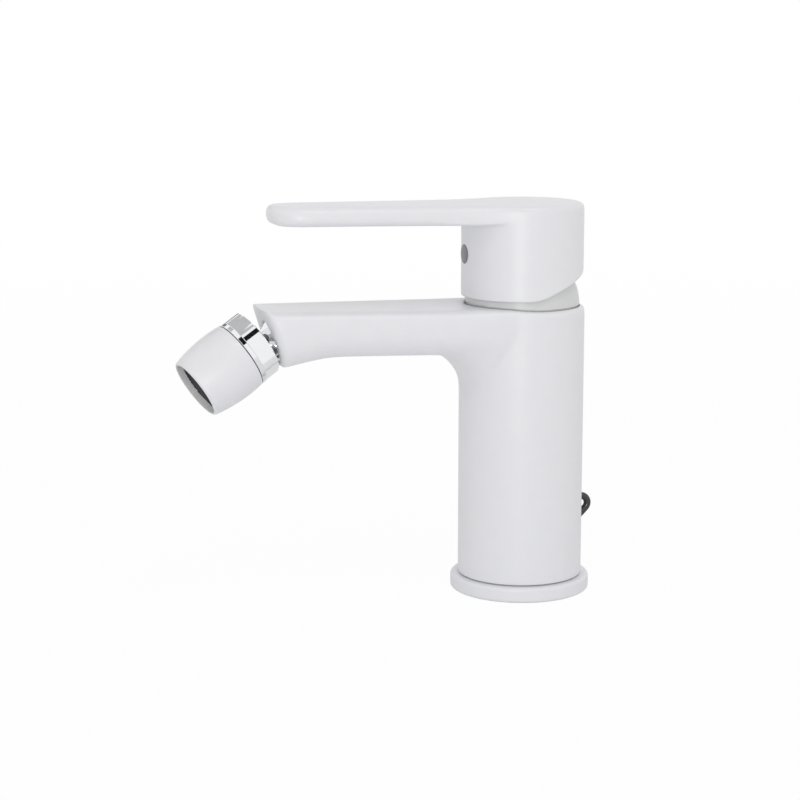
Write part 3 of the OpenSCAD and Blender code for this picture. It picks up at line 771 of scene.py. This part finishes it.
@dataclass
class BodyCasting(DrumWithArm):
    """The white casting: a round body with a level spout that deepens to its slanted end."""

    height: float = 106.3 * MM
    spigot_r: float = 21.4 * MM
    ring_h: float = 5.6 * MM
    seam: float = 0.32 * MM
    foot_edge: float = 0.3 * MM
    wall_rows: tuple[float, ...] = (20 * MM, 36 * MM, 50 * MM, 62 * MM)
    joint_gap: float = 6.75 * MM
    seat_r: float = 21.3 * MM
    seat_step: float = 0.12 * MM
    seat_depth: float = 0.9 * MM
    cap_bore_r: float = 20.5 * MM
    cap_bore_depth: float = 1.1 * MM
    cap_bore_low: float = 102.6 * MM
    chamber_r: float = 18.5 * MM
    chamber_top: float = 98.2 * MM
    chamber_low: float = 72.1 * MM
    lean_from: float = 50.0 * MM
    drop: float = 3.4 * MM
    drop_start: float = 76.0 * MM
    drop_blend: float = 3.0 * MM
    drop_tip: float = 8.0 * MM
    face_tilt: float = radians(18.0)
    stub_r: float = 7.8 * MM
    stub_depth: float = 12.4 * MM
    stub_rim: float = 0.5 * MM
    ball_out: float = 10.0 * MM
    face_edge: float = 0.4 * MM
    side_edge: float = 2.4 * MM
    face_inset: float = 1.2 * MM

    def end_edge(self, column: int, row: int) -> float:
        """Rounding of the end face's edge: fine above and below, soft at the sides."""
        aside = 0.0
        if row == 0:
            aside = sin(self.corner_turn(column))
        elif abs(column) == self.reach:
            aside = cos(RIGHT_ANGLE * (row - 1) / (self.edge_rows - 1))
        return self.face_edge + (self.side_edge - self.face_edge) * aside**self.fade

    def low_at(self, s: float) -> float:
        """Height of the spout's underside, which drops towards the tip."""
        past = s - self.drop_start
        slope = self.drop / (self.tip_s - self.drop_tip - self.drop_start)
        sunk = slope * (sqrt(past**2 + self.drop_blend**2) + past) / 2
        return self.top_at(s) - self.arm_t - sunk

    def drum_rules(self) -> tuple[list[Rule], int]:
        """Rules of the drum's rows, from the underside over the rim into the chamber.

        Returns:
            The rules and the row where the spout's block begins.
        """
        ring = self.level_ring
        foot = self.ring_h + self.seam
        edge = self.foot_edge
        rules = [ring(self.spigot_r - edge, 0.0), ring(self.spigot_r, edge)]
        rules += [ring(self.spigot_r, foot - edge), ring(self.spigot_r, foot)]
        rules += [ring(self.drum_r - 2 * edge, foot), ring(self.drum_r - 0.3 * edge, foot + 0.3 * edge)]
        rules += [ring(self.drum_r, foot + 1.6 * edge), ring(self.drum_r, foot + 4 * edge)]
        rules += [ring(self.drum_r, z) for z in self.wall_rows]
        rules.append(self.joint_ring(self.joint_gap))
        low_row = len(rules)
        rules.append(self.joint_ring())
        rules += self.edge_rings(self.height, self._rim_ring)
        rules.append(self._rim_ring(self.seat_r - self.seat_step, self.height - self.seat_depth))
        rules.append(ring(self.cap_bore_r, self.height - self.cap_bore_depth))
        rules.append(ring(self.cap_bore_r, self.cap_bore_low))
        rules += [ring(self.chamber_r, self.chamber_top), ring(self.chamber_r, self.chamber_low)]
        return rules, low_row

    def _rim_ring(self, radius: float, z: float) -> Rule:
        """A ring of the rim, raised in front to the height of the spout's top."""
        inner = max(radius, self.seat_r)
        return lambda column, _row: self.on_drum(column, radius, z + self.rim_lift(column, inner))

    def rim_lift(self, column: float, radius: float) -> float:
        """How far the rim is raised over a column, at some radius."""
        s = radius * cos(self.column_turn(column))
        near = blend_in(self.reach + 3 - abs(column), 0.0, 4.0)
        return (self.top_at(max(s, 0.0)) - self.height) * near

    def stations(self) -> list[Station]:
        """The spout's rings, from the body to the end face."""
        near = [(25, 1.0, 2.0), (29, 0.9, 5.0), (33, 0.6, 9.0), (37, 0.3, 13.0)]
        rings = [Station(s * MM, follow, ahead * MM) for s, follow, ahead in near]
        for s in (42, 48, 55, 62, 69, 75, 80, 85, 89, 93):
            lean = min(max((s * MM - self.lean_from) / (self.tip_s - self.lean_from), 0.0), 1.0)
            rings.append(Station(s * MM, slant=lean))
        rings += [Station(self.tip_s, slant=1.0, bend=bend) for bend in (0.0, 0.5, 1.0)]
        rings.append(Station(self.tip_s, slant=1.0, bend=1.0, inset=self.face_inset))
        return rings

    def build(self) -> Piece:
        """Models the casting and cuts its holes.

        Returns:
            The finished piece.
        """
        piece = super().build()
        self._cut_stub_hole(piece)
        self._cut_underside(piece)
        smooth(piece)
        return piece

    def _cut_stub_hole(self, piece: Piece) -> None:
        """Cuts the round recess for the ball's stub into the end face, with a bevelled rim."""
        turn = Matrix.Rotation(self.face_tilt - RIGHT_ANGLE, 4, "X")
        ball = Matrix.Translation(joint_named("nozzle_pitch")["pos_m"]) @ turn
        cut_round(piece, self.stub_r, self.stub_depth, ball)
        outwards = Matrix.Rotation(pi, 4, "X")
        rim = ball @ Matrix.Translation((0, 0, self.ball_out + self.stub_rim)) @ outwards
        cut_round(piece, self.stub_r, 2 * self.stub_rim, rim, flare=2 * self.stub_rim)

    def _cut_underside(self, piece: Piece) -> None:
        """Cuts the hose and stud threads that the record's mounts give."""
        for mount in frame["record"]["mounts"]:
            if mount["kind"] == "threaded_hole":
                x, y, _z = mount["pos_m"]
                depth = mount["dims"]["length_mm"] * MM
                place = Matrix.Translation((x, y, -MM))
                cut_round(piece, mount["dims"]["r_mm"] * MM, depth + MM, place)


@dataclass
class DomeCap:
    """The dome over the cartridge, whose foot leaves a narrow gap above the body's rim."""

    body: BodyCasting
    radius: float = 21.0 * MM
    wall: float = 1.7 * MM
    hole_r: float = 16.2 * MM
    skirt_r: float = 20.45 * MM
    skirt_t: float = 1.2 * MM
    skirt_h: float = 2.7 * MM
    gap: float = 0.32 * MM
    foot_edge: float = 0.12 * MM
    columns: int = 144
    steps: int = 12

    def ring(self, place: Callable[[float], tuple[float, float]]) -> Rule:
        """The rule of a ring.

        Args:
            place: Gives a radius and a height above the body's rim, by how far the rim is raised there.

        Returns:
            A rule for the ring's vertices.
        """

        def at(column: int, _row: int) -> Vector:
            """Place of one vertex of the ring."""
            own = column * self.body.columns / self.columns
            radius, up = place(self.body.rim_lift(own, self.radius))
            return self.body.on_drum(own, radius, self.body.height + up)

        return at

    def foot_ring(self, radius: float, up: float) -> Rule:
        """A ring that follows the body's rim at some height above it."""
        return self.ring(lambda lift: (radius, lift + up))

    def ball_ring(self, radius: float, share: float) -> Rule:
        """A ring on a ball round the lifting pivot, from the foot at share 0 to the hole at share 1."""

        def place(lift: float) -> tuple[float, float]:
            """Radius and height over a column where the rim is raised by some lift."""
            start = asin((lift + self.gap + self.foot_edge) / radius)
            up = start + (acos(self.hole_r / radius) - start) * share
            return radius * cos(up), radius * sin(up)

        return self.ring(place)

    def build(self) -> Piece:
        """Models the dome.

        Returns:
            The finished piece.
        """
        shares = [step / self.steps for step in range(self.steps + 1)]
        rings = [
            self.foot_ring(self.skirt_r - self.skirt_t, -self.skirt_h),
            self.foot_ring(self.skirt_r, -self.skirt_h),
            self.foot_ring(self.skirt_r, self.gap),
            self.foot_ring(self.radius - self.foot_edge, self.gap),
        ]
        rings += [self.ball_ring(self.radius, share) for share in shares]
        rings += [self.ball_ring(self.radius - self.wall, share) for share in reversed(shares)]
        skin = Skin("dome", self.columns, rings)
        skin.open_through()
        return skin.finish()


@dataclass
class LeverHandle(DrumWithArm):
    """The white lever: a round hub over the dome and a flat plank with a round tip."""

    pivot_z: float = 106.3 * MM
    cavity_r: float = 21.5 * MM
    rim_z: float = 109.7 * MM
    rim_edge: float = 0.5 * MM
    relief_y: float = -1.2 * MM
    relief: float = radians(22.0)
    relief_blend: float = 1.6 * MM
    end_s: float = 95.3 * MM
    tip_edge: float = 3.8 * MM
    tip_least: float = 0.4 * MM
    rise_from: float = 9.4 * MM
    cavity_top: float = radians(8.0)
    wall_up: float = 4.0 * MM
    joint_gap: float = 2.5 * MM

    def half_width(self, s: float) -> float:
        """Half the lever's width, which ends in a half circle."""
        if s <= self.tip_s:
            return super().half_width(s)
        return sqrt(max(self.tip_half**2 - (s - self.tip_s) ** 2, self.tip_least**2))

    @staticmethod
    def edge_loss(left: float, edge: float) -> float:
        """How much a round edge takes off near the tip's end."""
        if left >= edge:
            return 0.0
        return edge - sqrt(max(edge**2 - (edge - left) ** 2, 0.0))

    def plane_at(self, s: float) -> float:
        """Height of the plane of the lever's top, which rises past the hub."""
        return self.arm_top + max(s - self.rise_from, 0.0) * self.arm_rise

    def top_at(self, s: float) -> float:
        """Height of the lever's top, rounded off at the tip."""
        return self.plane_at(s) - self.edge_loss(self.end_s - s, self.top_edge)

    def low_at(self, s: float) -> float:
        """Height of the lever's underside, rounded off at the tip."""
        return self.plane_at(s) - self.arm_t + self.edge_loss(self.end_s - s, self.tip_edge)

    def rim_at(self, column: int, radius: float) -> float:
        """Height of the hub's lower rim, which slopes up at the back."""
        past = -radius * cos(self.column_turn(column)) - self.relief_y
        rise = (sqrt(past**2 + self.relief_blend**2) + past) / 2
        return self.rim_z + rise * tan(self.relief)

    def cavity_ring(self, share: float) -> Rule:
        """A ring on the cavity's ball, from its top at share 0 to the rim at share 1."""

        def at(column: int, _row: int) -> Vector:
            """Place of one vertex of the ring."""
            rim = self.rim_at(column, self.cavity_r) - self.pivot_z
            end = acos(min(rim / self.cavity_r, 1.0))
            polar = self.cavity_top + (end - self.cavity_top) * share
            radius = self.cavity_r * sin(polar)
            return self.on_drum(column, radius, self.pivot_z + self.cavity_r * cos(polar))

        return at

    def drum_rules(self) -> tuple[list[Rule], int]:
        """Rules of the hub's rows, from the cavity over the rim to the top.

        Returns:
            The rules and the row where the plank's block begins.
        """
        rules = [self.cavity_ring(share) for share in (0.0, 0.2, 0.4, 0.6, 0.8, 0.95, 1.0)]
        edge = self.rim_edge
        for inward, up in ((edge * 0.9, 0.0), (edge * 0.3, edge * 0.3), (0.0, edge), (0.0, 3 * edge)):
            rules.append(self._rim_ring(self.drum_r - inward, up))
        middle = (self.rim_z + self.low_at(0.0)) / 2 + self.wall_up
        rules += [self.level_ring(self.drum_r, middle), self.joint_ring(self.joint_gap)]
        low_row = len(rules)
        rules.append(self.joint_ring())
        rules += self.edge_rings(self.arm_top, self.level_ring)
        flat = self.drum_r - self.drum_edge
        rules += [self.level_ring(flat * share, self.arm_top) for share in (0.92, 0.6, 0.25)]
        return rules, low_row

    def _rim_ring(self, radius: float, up: float) -> Rule:
        """A ring that follows the sloping rim."""
        return lambda column, _row: self.on_drum(column, radius, self.rim_at(column, radius) + up)

    def stations(self) -> list[Station]:
        """The plank's rings, from the hub to the round tip."""
        near = [(25, 1.0, 1.6), (28, 0.6, 5.0), (32, 0.25, 9.0)]
        rings = [Station(s * MM, follow, ahead * MM) for s, follow, ahead in near]
        rings += [Station(s * MM) for s in (38, 48, 58, 68, 76)]
        for turn in (0, 14, 28, 41, 53, 63, 72, 79, 84.5):
            rings.append(Station(self.tip_s + self.tip_half * sin(radians(turn))))
        return rings


def joint_named(name: str) -> dict:
    """The frame's joint of that name."""
    return next(joint for joint in frame["joints"] if joint["name"] == name)


def nozzle_place() -> Matrix:
    """Where the nozzle's own axes lie: +Z runs from the ball to the outlet, +X to the flat in view."""
    along = Vector(joint_named("nozzle_spin")["axis"]).normalized()
    up = Vector(joint_named("nozzle_yaw")["axis"]).normalized()
    turn = Matrix((up.cross(along), up, along)).transposed().to_4x4()
    return Matrix.Translation(Vector(joint_named("nozzle_spin")["pos_m"])) @ turn


@dataclass
class Nozzle:
    """The swivel nut, the white sleeve and the aerator in its outlet, along the nozzle's axis."""

    nut_r: float = 12.7 * MM
    flats: float = 23.3 * MM
    back: float = -6.2 * MM
    grip_end: float = 0.1 * MM
    front: float = 1.8 * MM
    mouth_r: float = 10.6 * MM
    bore_r: float = 6.6 * MM
    spigot_r: float = 9.9 * MM
    bevel: float = 0.35 * MM
    mouth_in: float = 0.8 * MM
    seat_w: float = 1.9 * MM
    groove: float = 0.1 * MM
    soft: float = 0.15 * MM
    fine: float = 0.05 * MM
    slip: float = 0.02 * MM
    seam: float = 0.25 * MM
    outlet_r: float = 11.5 * MM
    outlet: float = 22.3 * MM
    swell: float = 0.55 * MM
    lip: float = 0.95 * MM
    inner_r: float = 9.62 * MM
    lining: float = 0.3 * MM
    screen_r: float = 10.1 * MM
    screen_at: float = 19.8 * MM
    cup_depth: float = 4.4 * MM
    cup_wall: float = 1.3 * MM
    wire_r: float = 0.2 * MM
    wire_pitch: float = 1.15 * MM

    def nut(self) -> Piece:
        """Models the nut: a hexagon with rounded corners, a bevel behind and a round collar in front."""
        edge, soft = self.bevel, self.soft
        rear = [(self.bore_r, self.back + self.mouth_in), (self.mouth_r, self.back)]
        rear += [(self.nut_r - 2 * edge, self.back), (self.nut_r, self.back + edge)]
        grip = [(self.nut_r, self.grip_end - self.slip)]
        collar = [(self.nut_r - self.groove, self.grip_end), (self.nut_r, self.grip_end + soft)]
        collar += [(self.nut_r, self.front - soft), (self.nut_r - soft, self.front)]
        seat = [(self.spigot_r, self.front), (self.bore_r + self.seat_w, self.front)]
        profile = rear + grip + collar + seat
        nut = Turned(
            "nut", profile, nozzle_place(), columns=240, hollow=True, flats=self.flats,
            flat_rings=range(2, 5), sharp=20.0,
        )
        return nut.build()

    def sleeve(self) -> Piece:
        """Models the sleeve: a barrel with a rolled lip, open in front and behind."""
        start = self.front + self.seam
        end = self.outlet - self.lip
        steps = 18
        profile = [(self.inner_r, start), (self.nut_r - self.bevel, start)]
        profile.append((self.nut_r - self.fine, start + 4 * self.fine))
        for step in range(1, steps + 1):
            share = step / steps
            taper = (self.outlet_r - self.nut_r) * share * share
            swell = self.swell * 4 * share * (1 - share)
            profile.append((self.nut_r + taper + swell, start + (end - start) * share))
        mouth = self.outlet_r - self.lip
        profile += arc((mouth, end), self.lip, 12, 84, 6)
        profile += [(mouth + self.fine, self.outlet), (mouth, self.outlet - self.fine)]
        step_at = self.screen_at - 2 * self.lining
        profile += [(mouth, step_at), (self.inner_r, step_at)]
        return Turned("sleeve", profile, nozzle_place(), hollow=True).build()

    def aerator(self) -> Piece:
        """Models the aerator: a cup in the sleeve, with a collar that lines the outlet."""
        back = self.screen_at - self.cup_depth
        shelf = self.screen_at - self.lining
        outer = self.outlet_r - self.lip - self.slip
        seat = self.inner_r - self.fine
        bore = seat - self.cup_wall
        edge = self.lining / 2
        profile = [(bore, back), (seat, back), (seat, shelf - self.lining), (outer, shelf - self.lining)]
        profile += arc((outer - edge, self.outlet - self.groove - edge), edge, 0, 180, 6)
        profile += [(self.screen_r, shelf), (bore, shelf)]
        return Turned("aerator", profile, nozzle_place(), hollow=True).build()

    def screen(self) -> Piece:
        """Models the screen: two layers of crossed wires, each a bar cut to the ring's width."""
        clear_selection()
        wires = []
        count = int(self.screen_r / self.wire_pitch)
        for layer in range(2):
            for index in range(-count, count + 1):
                off = index * self.wire_pitch
                half = sqrt(self.screen_r**2 - off**2)
                wires.append(self._wire(layer, off, half))
        make_active(wires[0])
        for wire in wires[1:]:
            wire.select_set(True)
        bpy.ops.object.join()
        screen = bpy.context.object
        screen.name = "screen"
        screen.data.name = "screen"
        smooth(screen, 60.0)
        return screen

    def _wire(self, layer: int, off: float, half: float) -> Piece:
        """One wire of a layer.

        Args:
            layer: 0 for the lower layer and 1 for the one that crosses it.
            off: Distance of the wire from the axis.
            half: Half the wire's length.

        Returns:
            The wire, in its place on the nozzle.
        """
        bpy.ops.mesh.primitive_cylinder_add(vertices=8, radius=self.wire_r, depth=2 * half)
        wire = bpy.context.object
        bpy.ops.object.mode_set(mode="EDIT")
        bpy.ops.mesh.select_all(action="SELECT")
        bpy.ops.mesh.bevel(offset=self.wire_r * 0.4, affect="EDGES", segments=1)
        bpy.ops.object.mode_set(mode="OBJECT")
        lie = Matrix.Rotation(RIGHT_ANGLE, 4, "Y")
        spin = Matrix.Rotation(radians(45 + 90 * layer), 4, "Z")
        height = self.screen_at + (layer - 0.5) * self.wire_r
        shift = Matrix.Translation((0.0, off, height))
        wire.data.transform(nozzle_place() @ spin @ shift @ lie)
        return wire


@dataclass
class ChainEyelet:
    """A bent wire low on the body's back: a level leg, a round bend and a sloping leg."""

    middle: Vector = field(default_factory=lambda: Vector((0.0, 24.2 * MM, 30.0 * MM)))
    loop_r: float = 2.75 * MM
    wire_r: float = 1.35 * MM
    lean: float = radians(45.0)
    upper_l: float = 5.2 * MM
    lower_l: float = 8.5 * MM
    columns: int = 20
    bend_steps: int = 14

    def route(self) -> list[tuple[Vector, float]]:
        """Points of the wire's middle line, each with the angle of the loop's spoke there."""
        top = RIGHT_ANGLE
        points = [(self._spoke(top, Vector((0.0, -self.upper_l, 0.0))), top)]
        for step in range(self.bend_steps + 1):
            turn = top - (top + self.lean) * step / self.bend_steps
            points.append((self._spoke(turn, Vector()), turn))
        along = Vector((0.0, -sin(self.lean), -cos(self.lean)))
        points.append((self._spoke(-self.lean, along * self.lower_l), -self.lean))
        return points

    def _spoke(self, turn: float, shift: Vector) -> Vector:
        """End of the loop's spoke at an angle from +Y, moved by a shift."""
        spoke = Vector((0.0, cos(turn), sin(turn))) * self.loop_r
        return self.middle + spoke + shift

    def ring(self, point: Vector, turn: float) -> Rule:
        """The rule of the wire's ring at one point of its route."""
        spoke = Vector((0.0, cos(turn), sin(turn)))

        def at(column: int, _row: int) -> Vector:
            """Place of one vertex of the ring."""
            around = tau * column / self.columns
            side = Vector((sin(around), 0.0, 0.0))
            return point + (spoke * cos(around) + side) * self.wire_r

        return at

    def build(self) -> Piece:
        """Models the eyelet."""
        rings = [self.ring(point, turn) for point, turn in self.route()]
        return Skin("eyelet", self.columns, rings).finish()


@dataclass
class IndexPlug:
    """The grey plug in the front of the hub, slightly domed."""

    radius: float = 3.55 * MM
    dome: float = 0.25 * MM
    edge: float = 0.3 * MM

    def build(self) -> Piece:
        """Models the plug.

        Returns:
            The finished piece.
        """
        low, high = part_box("index_plug")
        length = high.y - low.y
        middle = Vector((0.0, high.y, (low.z + high.z) / 2))
        place = Matrix.Translation(middle) @ Matrix.Rotation(RIGHT_ANGLE, 4, "X")
        profile = [(self.radius - self.edge, 0.0), (self.radius, self.edge)]
        profile += arc((self.radius - self.edge, length - self.dome - self.edge), self.edge, 0, 75, 4)
        for share in (0.75, 0.5, 0.25):
            height = length - self.dome * share * share
            profile.append((self.radius * share, height))
        return Turned("plug", profile, place, columns=64).build()


@dataclass
class Studio:
    """A plain white studio: floor, soft lamps and the camera of the photograph."""

    camera_at: Vector = field(default_factory=lambda: Vector((0.7123, -0.2593, 0.2113)))
    heading: float = radians(73.37)
    pitch: float = radians(10.54)
    lens: float = 93.8
    sensor: float = 36.0
    floor_r: float = 4.0
    floor_grey: tuple[float, ...] = (0.88, 0.88, 0.885, 1.0)
    floor_white: float = 0.955
    floor_mirrored: float = 0.2
    floor_fade: tuple[float, float] = (0.25, 1.2)
    world_light: float = 0.76
    aim: Vector = field(default_factory=lambda: Vector((0.0, -0.03, 0.08)))

    def camera(self) -> None:
        """Puts up the camera."""
        data = bpy.data.cameras.new("camera")
        data.lens = self.lens
        data.sensor_width = self.sensor
        data.clip_start = 10 * MM
        camera = bpy.data.objects.new("camera", data)
        bpy.context.scene.collection.objects.link(camera)
        camera.location = self.camera_at
        camera.rotation_euler = (RIGHT_ANGLE - self.pitch, 0.0, self.heading)
        bpy.context.scene.camera = camera

    def floor(self) -> None:
        """Lays a pale floor that shows white and keeps the shadow."""
        clear_selection()
        bpy.ops.mesh.primitive_circle_add(vertices=96, radius=self.floor_r, fill_type="NGON")
        floor = bpy.context.object
        floor.name = "floor"
        material = bpy.data.materials.new("white_floor")
        graph = Graph(material)
        graph.nodes.remove(graph.nodes["Principled BSDF"])
        matt = graph.add("BsdfDiffuse", {"Color": self.floor_grey}).outputs[0]
        glow = graph.add("Emission").outputs[0]
        mix = graph.add("MixShader", {0: self._floor_share(graph), 1: matt, 2: glow})
        graph.fill(graph.nodes["Material Output"], {"Surface": mix.outputs[0]})
        floor.data.materials.append(material)
        floor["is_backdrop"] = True

    def _floor_share(self, graph: Graph) -> Socket:
        """Adds the share of plain white in the floor, which grows to 1 far from the mixer.

        Args:
            graph: The floor's nodes.

        Returns:
            A socket that is 0 for rays that only light the room.
        """
        place = graph.add("TexCoord").outputs["Object"]
        far = graph.add("VectorMath", {0: place}, operation="LENGTH").outputs["Value"]
        rays = graph.add("LightPath").outputs
        start, end = self.floor_fade
        shares = []
        for ray, near in zip(SEEN_RAYS, (self.floor_white, self.floor_mirrored, self.floor_white)):
            fade = graph.add("MapRange", {
                "From Min": start, "From Max": end, "To Min": near, "To Max": 1.0, "Value": far,
            })
            both = {0: rays[ray], 1: fade.outputs["Result"]}
            shares.append(graph.add("Math", both, operation="MULTIPLY").outputs[0])
        return graph.greatest(*shares)

    def world(self) -> None:
        """Lights the room evenly and shows it white to the camera and in mirrors."""
        world = bpy.data.worlds.new("white_room")
        bpy.context.scene.world = world
        graph = Graph(world)
        rays = graph.add("LightPath").outputs
        seen = graph.greatest(*(rays[ray] for ray in SEEN_RAYS))
        level = graph.add("MapRange", {"To Min": self.world_light, "To Max": 1.0, "Value": seen})
        light = {"Color": (1.0, 1.0, 1.0, 1.0), "Strength": level.outputs["Result"]}
        graph.fill(graph.nodes["Background"], light)

    def lamp(self, name: str, at: tuple[float, float, float], width: float, watts: float) -> None:
        """Hangs one soft lamp that faces the mixer."""
        data = bpy.data.lights.new(name, "AREA")
        data.size = width
        data.energy = watts
        lamp = bpy.data.objects.new(name, data)
        bpy.context.scene.collection.objects.link(lamp)
        lamp.location = at
        lamp.rotation_euler = (self.aim - lamp.location).to_track_quat("-Z", "Y").to_euler()

    def card(self, name: str, way: Vector, far: float, size: tuple[float, float], grey: float) -> None:
        """Hangs a matt card outside the picture, which the chrome mirrors.

        Args:
            name: The card's name.
            way: Direction from the nozzle to the card.
            far: Distance from the nozzle.
            size: Width and height.
            grey: The card's grey.
        """
        clear_selection()
        bpy.ops.mesh.primitive_plane_add(size=1.0)
        card = bpy.context.object
        card.name = name
        spot = Vector(joint_named("nozzle_spin")["pos_m"]) + way.normalized() * far
        turn = (-way).to_track_quat("Z", "Y").to_matrix().to_4x4()
        card.data.transform(Matrix.Translation(spot) @ turn @ Matrix.Diagonal((*size, 1.0, 1.0)))
        material = bpy.data.materials.new(name)
        graph = Graph(material)
        matt = {"Base Color": (grey, grey, grey, 1.0), "Roughness": 0.9, "Specular IOR Level": 0.1}
        graph.fill(graph.nodes["Principled BSDF"], matt)
        card.data.materials.append(material)
        card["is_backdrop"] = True

    def build(self) -> None:
        """Sets the studio up."""
        bpy.context.scene.view_settings.view_transform = "Standard"
        self.camera()
        self.floor()
        self.world()
        self.lamp("top", (0.5, 0.0, 0.95), width=0.3, watts=1.1)
        self.lamp("front", (0.95, -0.42, 0.14), width=0.26, watts=1.75)
        self.card("dark_card", Vector((0.63, -0.115, 0.768)), far=1.5, size=(0.45, 0.6), grey=0.01)
        self.card("back_card", Vector((-0.87, -0.17, 0.46)), far=0.9, size=(0.3, 0.3), grey=0.28)
        self.card("grey_card", Vector((-0.336, -0.379, 0.862)), far=0.9, size=(0.3, 0.25), grey=0.7)


def put(piece: Piece, finish: Finish, slot: str, *nodes: str) -> None:
    """Dresses a new piece and lets it stand for solids of one body.

    Args:
        piece: The new piece.
        finish: Its finish.
        slot: The record's material slot; not used.
        nodes: The solids that it stands for.
    """
    finish.dress(piece)
    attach(piece, body_of(frame["nodes"][nodes[0]])[0])
    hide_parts(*nodes)
    LOG.info("%s stands for %s", piece.name, ", ".join(nodes))


def casting_and_lever() -> tuple[BodyCasting, LeverHandle]:
    """The two white castings, sized from the solids that they stand for.

    Returns:
        The body casting and the lever, not built yet.
    """
    body_low, body_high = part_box("body_casting")
    lever_low, lever_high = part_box("lever_handle")
    tip_half = 12.5 * MM
    body = BodyCasting(
        name="casting", drum_r=body_high.y, arm_top=106.7 * MM, arm_t=16.75 * MM,
        arm_rise=tan(radians(1.2)), root_half=20.75 * MM, tip_half=15.25 * MM,
        tip_s=-body_low.y, flare=30.0 * MM, top_edge=4.0 * MM, low_edge=8.5 * MM,
        root_edge=8.5 * MM, drum_edge=2.0 * MM, fillet=15.0 * MM, reach=9,
    )
    lever = LeverHandle(
        name="lever", drum_r=lever_high.y, arm_top=143.85 * MM, arm_t=7.0 * MM,
        arm_rise=tan(radians(0.7)), root_half=15.75 * MM, tip_half=tip_half,
        tip_s=-lever_low.y - tip_half, end_s=-lever_low.y, flare=45.0 * MM, top_edge=3.0 * MM,
        low_edge=2.6 * MM, root_edge=0.9 * MM, drum_edge=2.2 * MM, fillet=1.0 * MM, reach=8,
    )
    return body, lever


def main() -> None:
    """Builds the mixer's looks and the studio round it."""
    logging.basicConfig(level=logging.INFO, format="%(name)s: %(message)s")
    Finishes.dress_solids()
    body, lever = casting_and_lever()
    put(body.build(), Finishes.WHITE_PAINT, "white_paint", "body_casting")
    # The dome gets the darker copy of the white paint, which paints in the shade under the hub and lever.
    put(DomeCap(body).build(), Finishes.DOME_WHITE_PAINTED_SHADE, "white_paint", "dome_cap")
    put(lever.build(), Finishes.WHITE_PAINT, "white_paint", "lever_handle")
    put(IndexPlug().build(), Finishes.PLUG_GREY, "grey_plastic", "index_plug")
    put(ChainEyelet().build(), Finishes.DARK_CHROME, "dark_chrome", "chain_eyelet")
    nozzle = Nozzle()
    put(nozzle.nut(), Finishes.CHROME, "chrome", "swivel_nut")
    put(nozzle.sleeve(), Finishes.WHITE_PAINT, "white_paint", "nozzle_sleeve")
    put(nozzle.aerator(), Finishes.GREY_PLASTIC, "grey_plastic", "aerator_body")
    # The screen gets steel darkened as painted shade for the recess inside the outlet.
    put(nozzle.screen(), Finishes.SCREEN_STEEL_PAINTED_SHADE, "steel", "aerator_screen")
    Studio().build()
    boxes = {"cad": CAD_BOX, "visual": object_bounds()}
    {key: [list(corner) for corner in box] for key, box in boxes.items()}


if __name__ == "__main__":
    main()
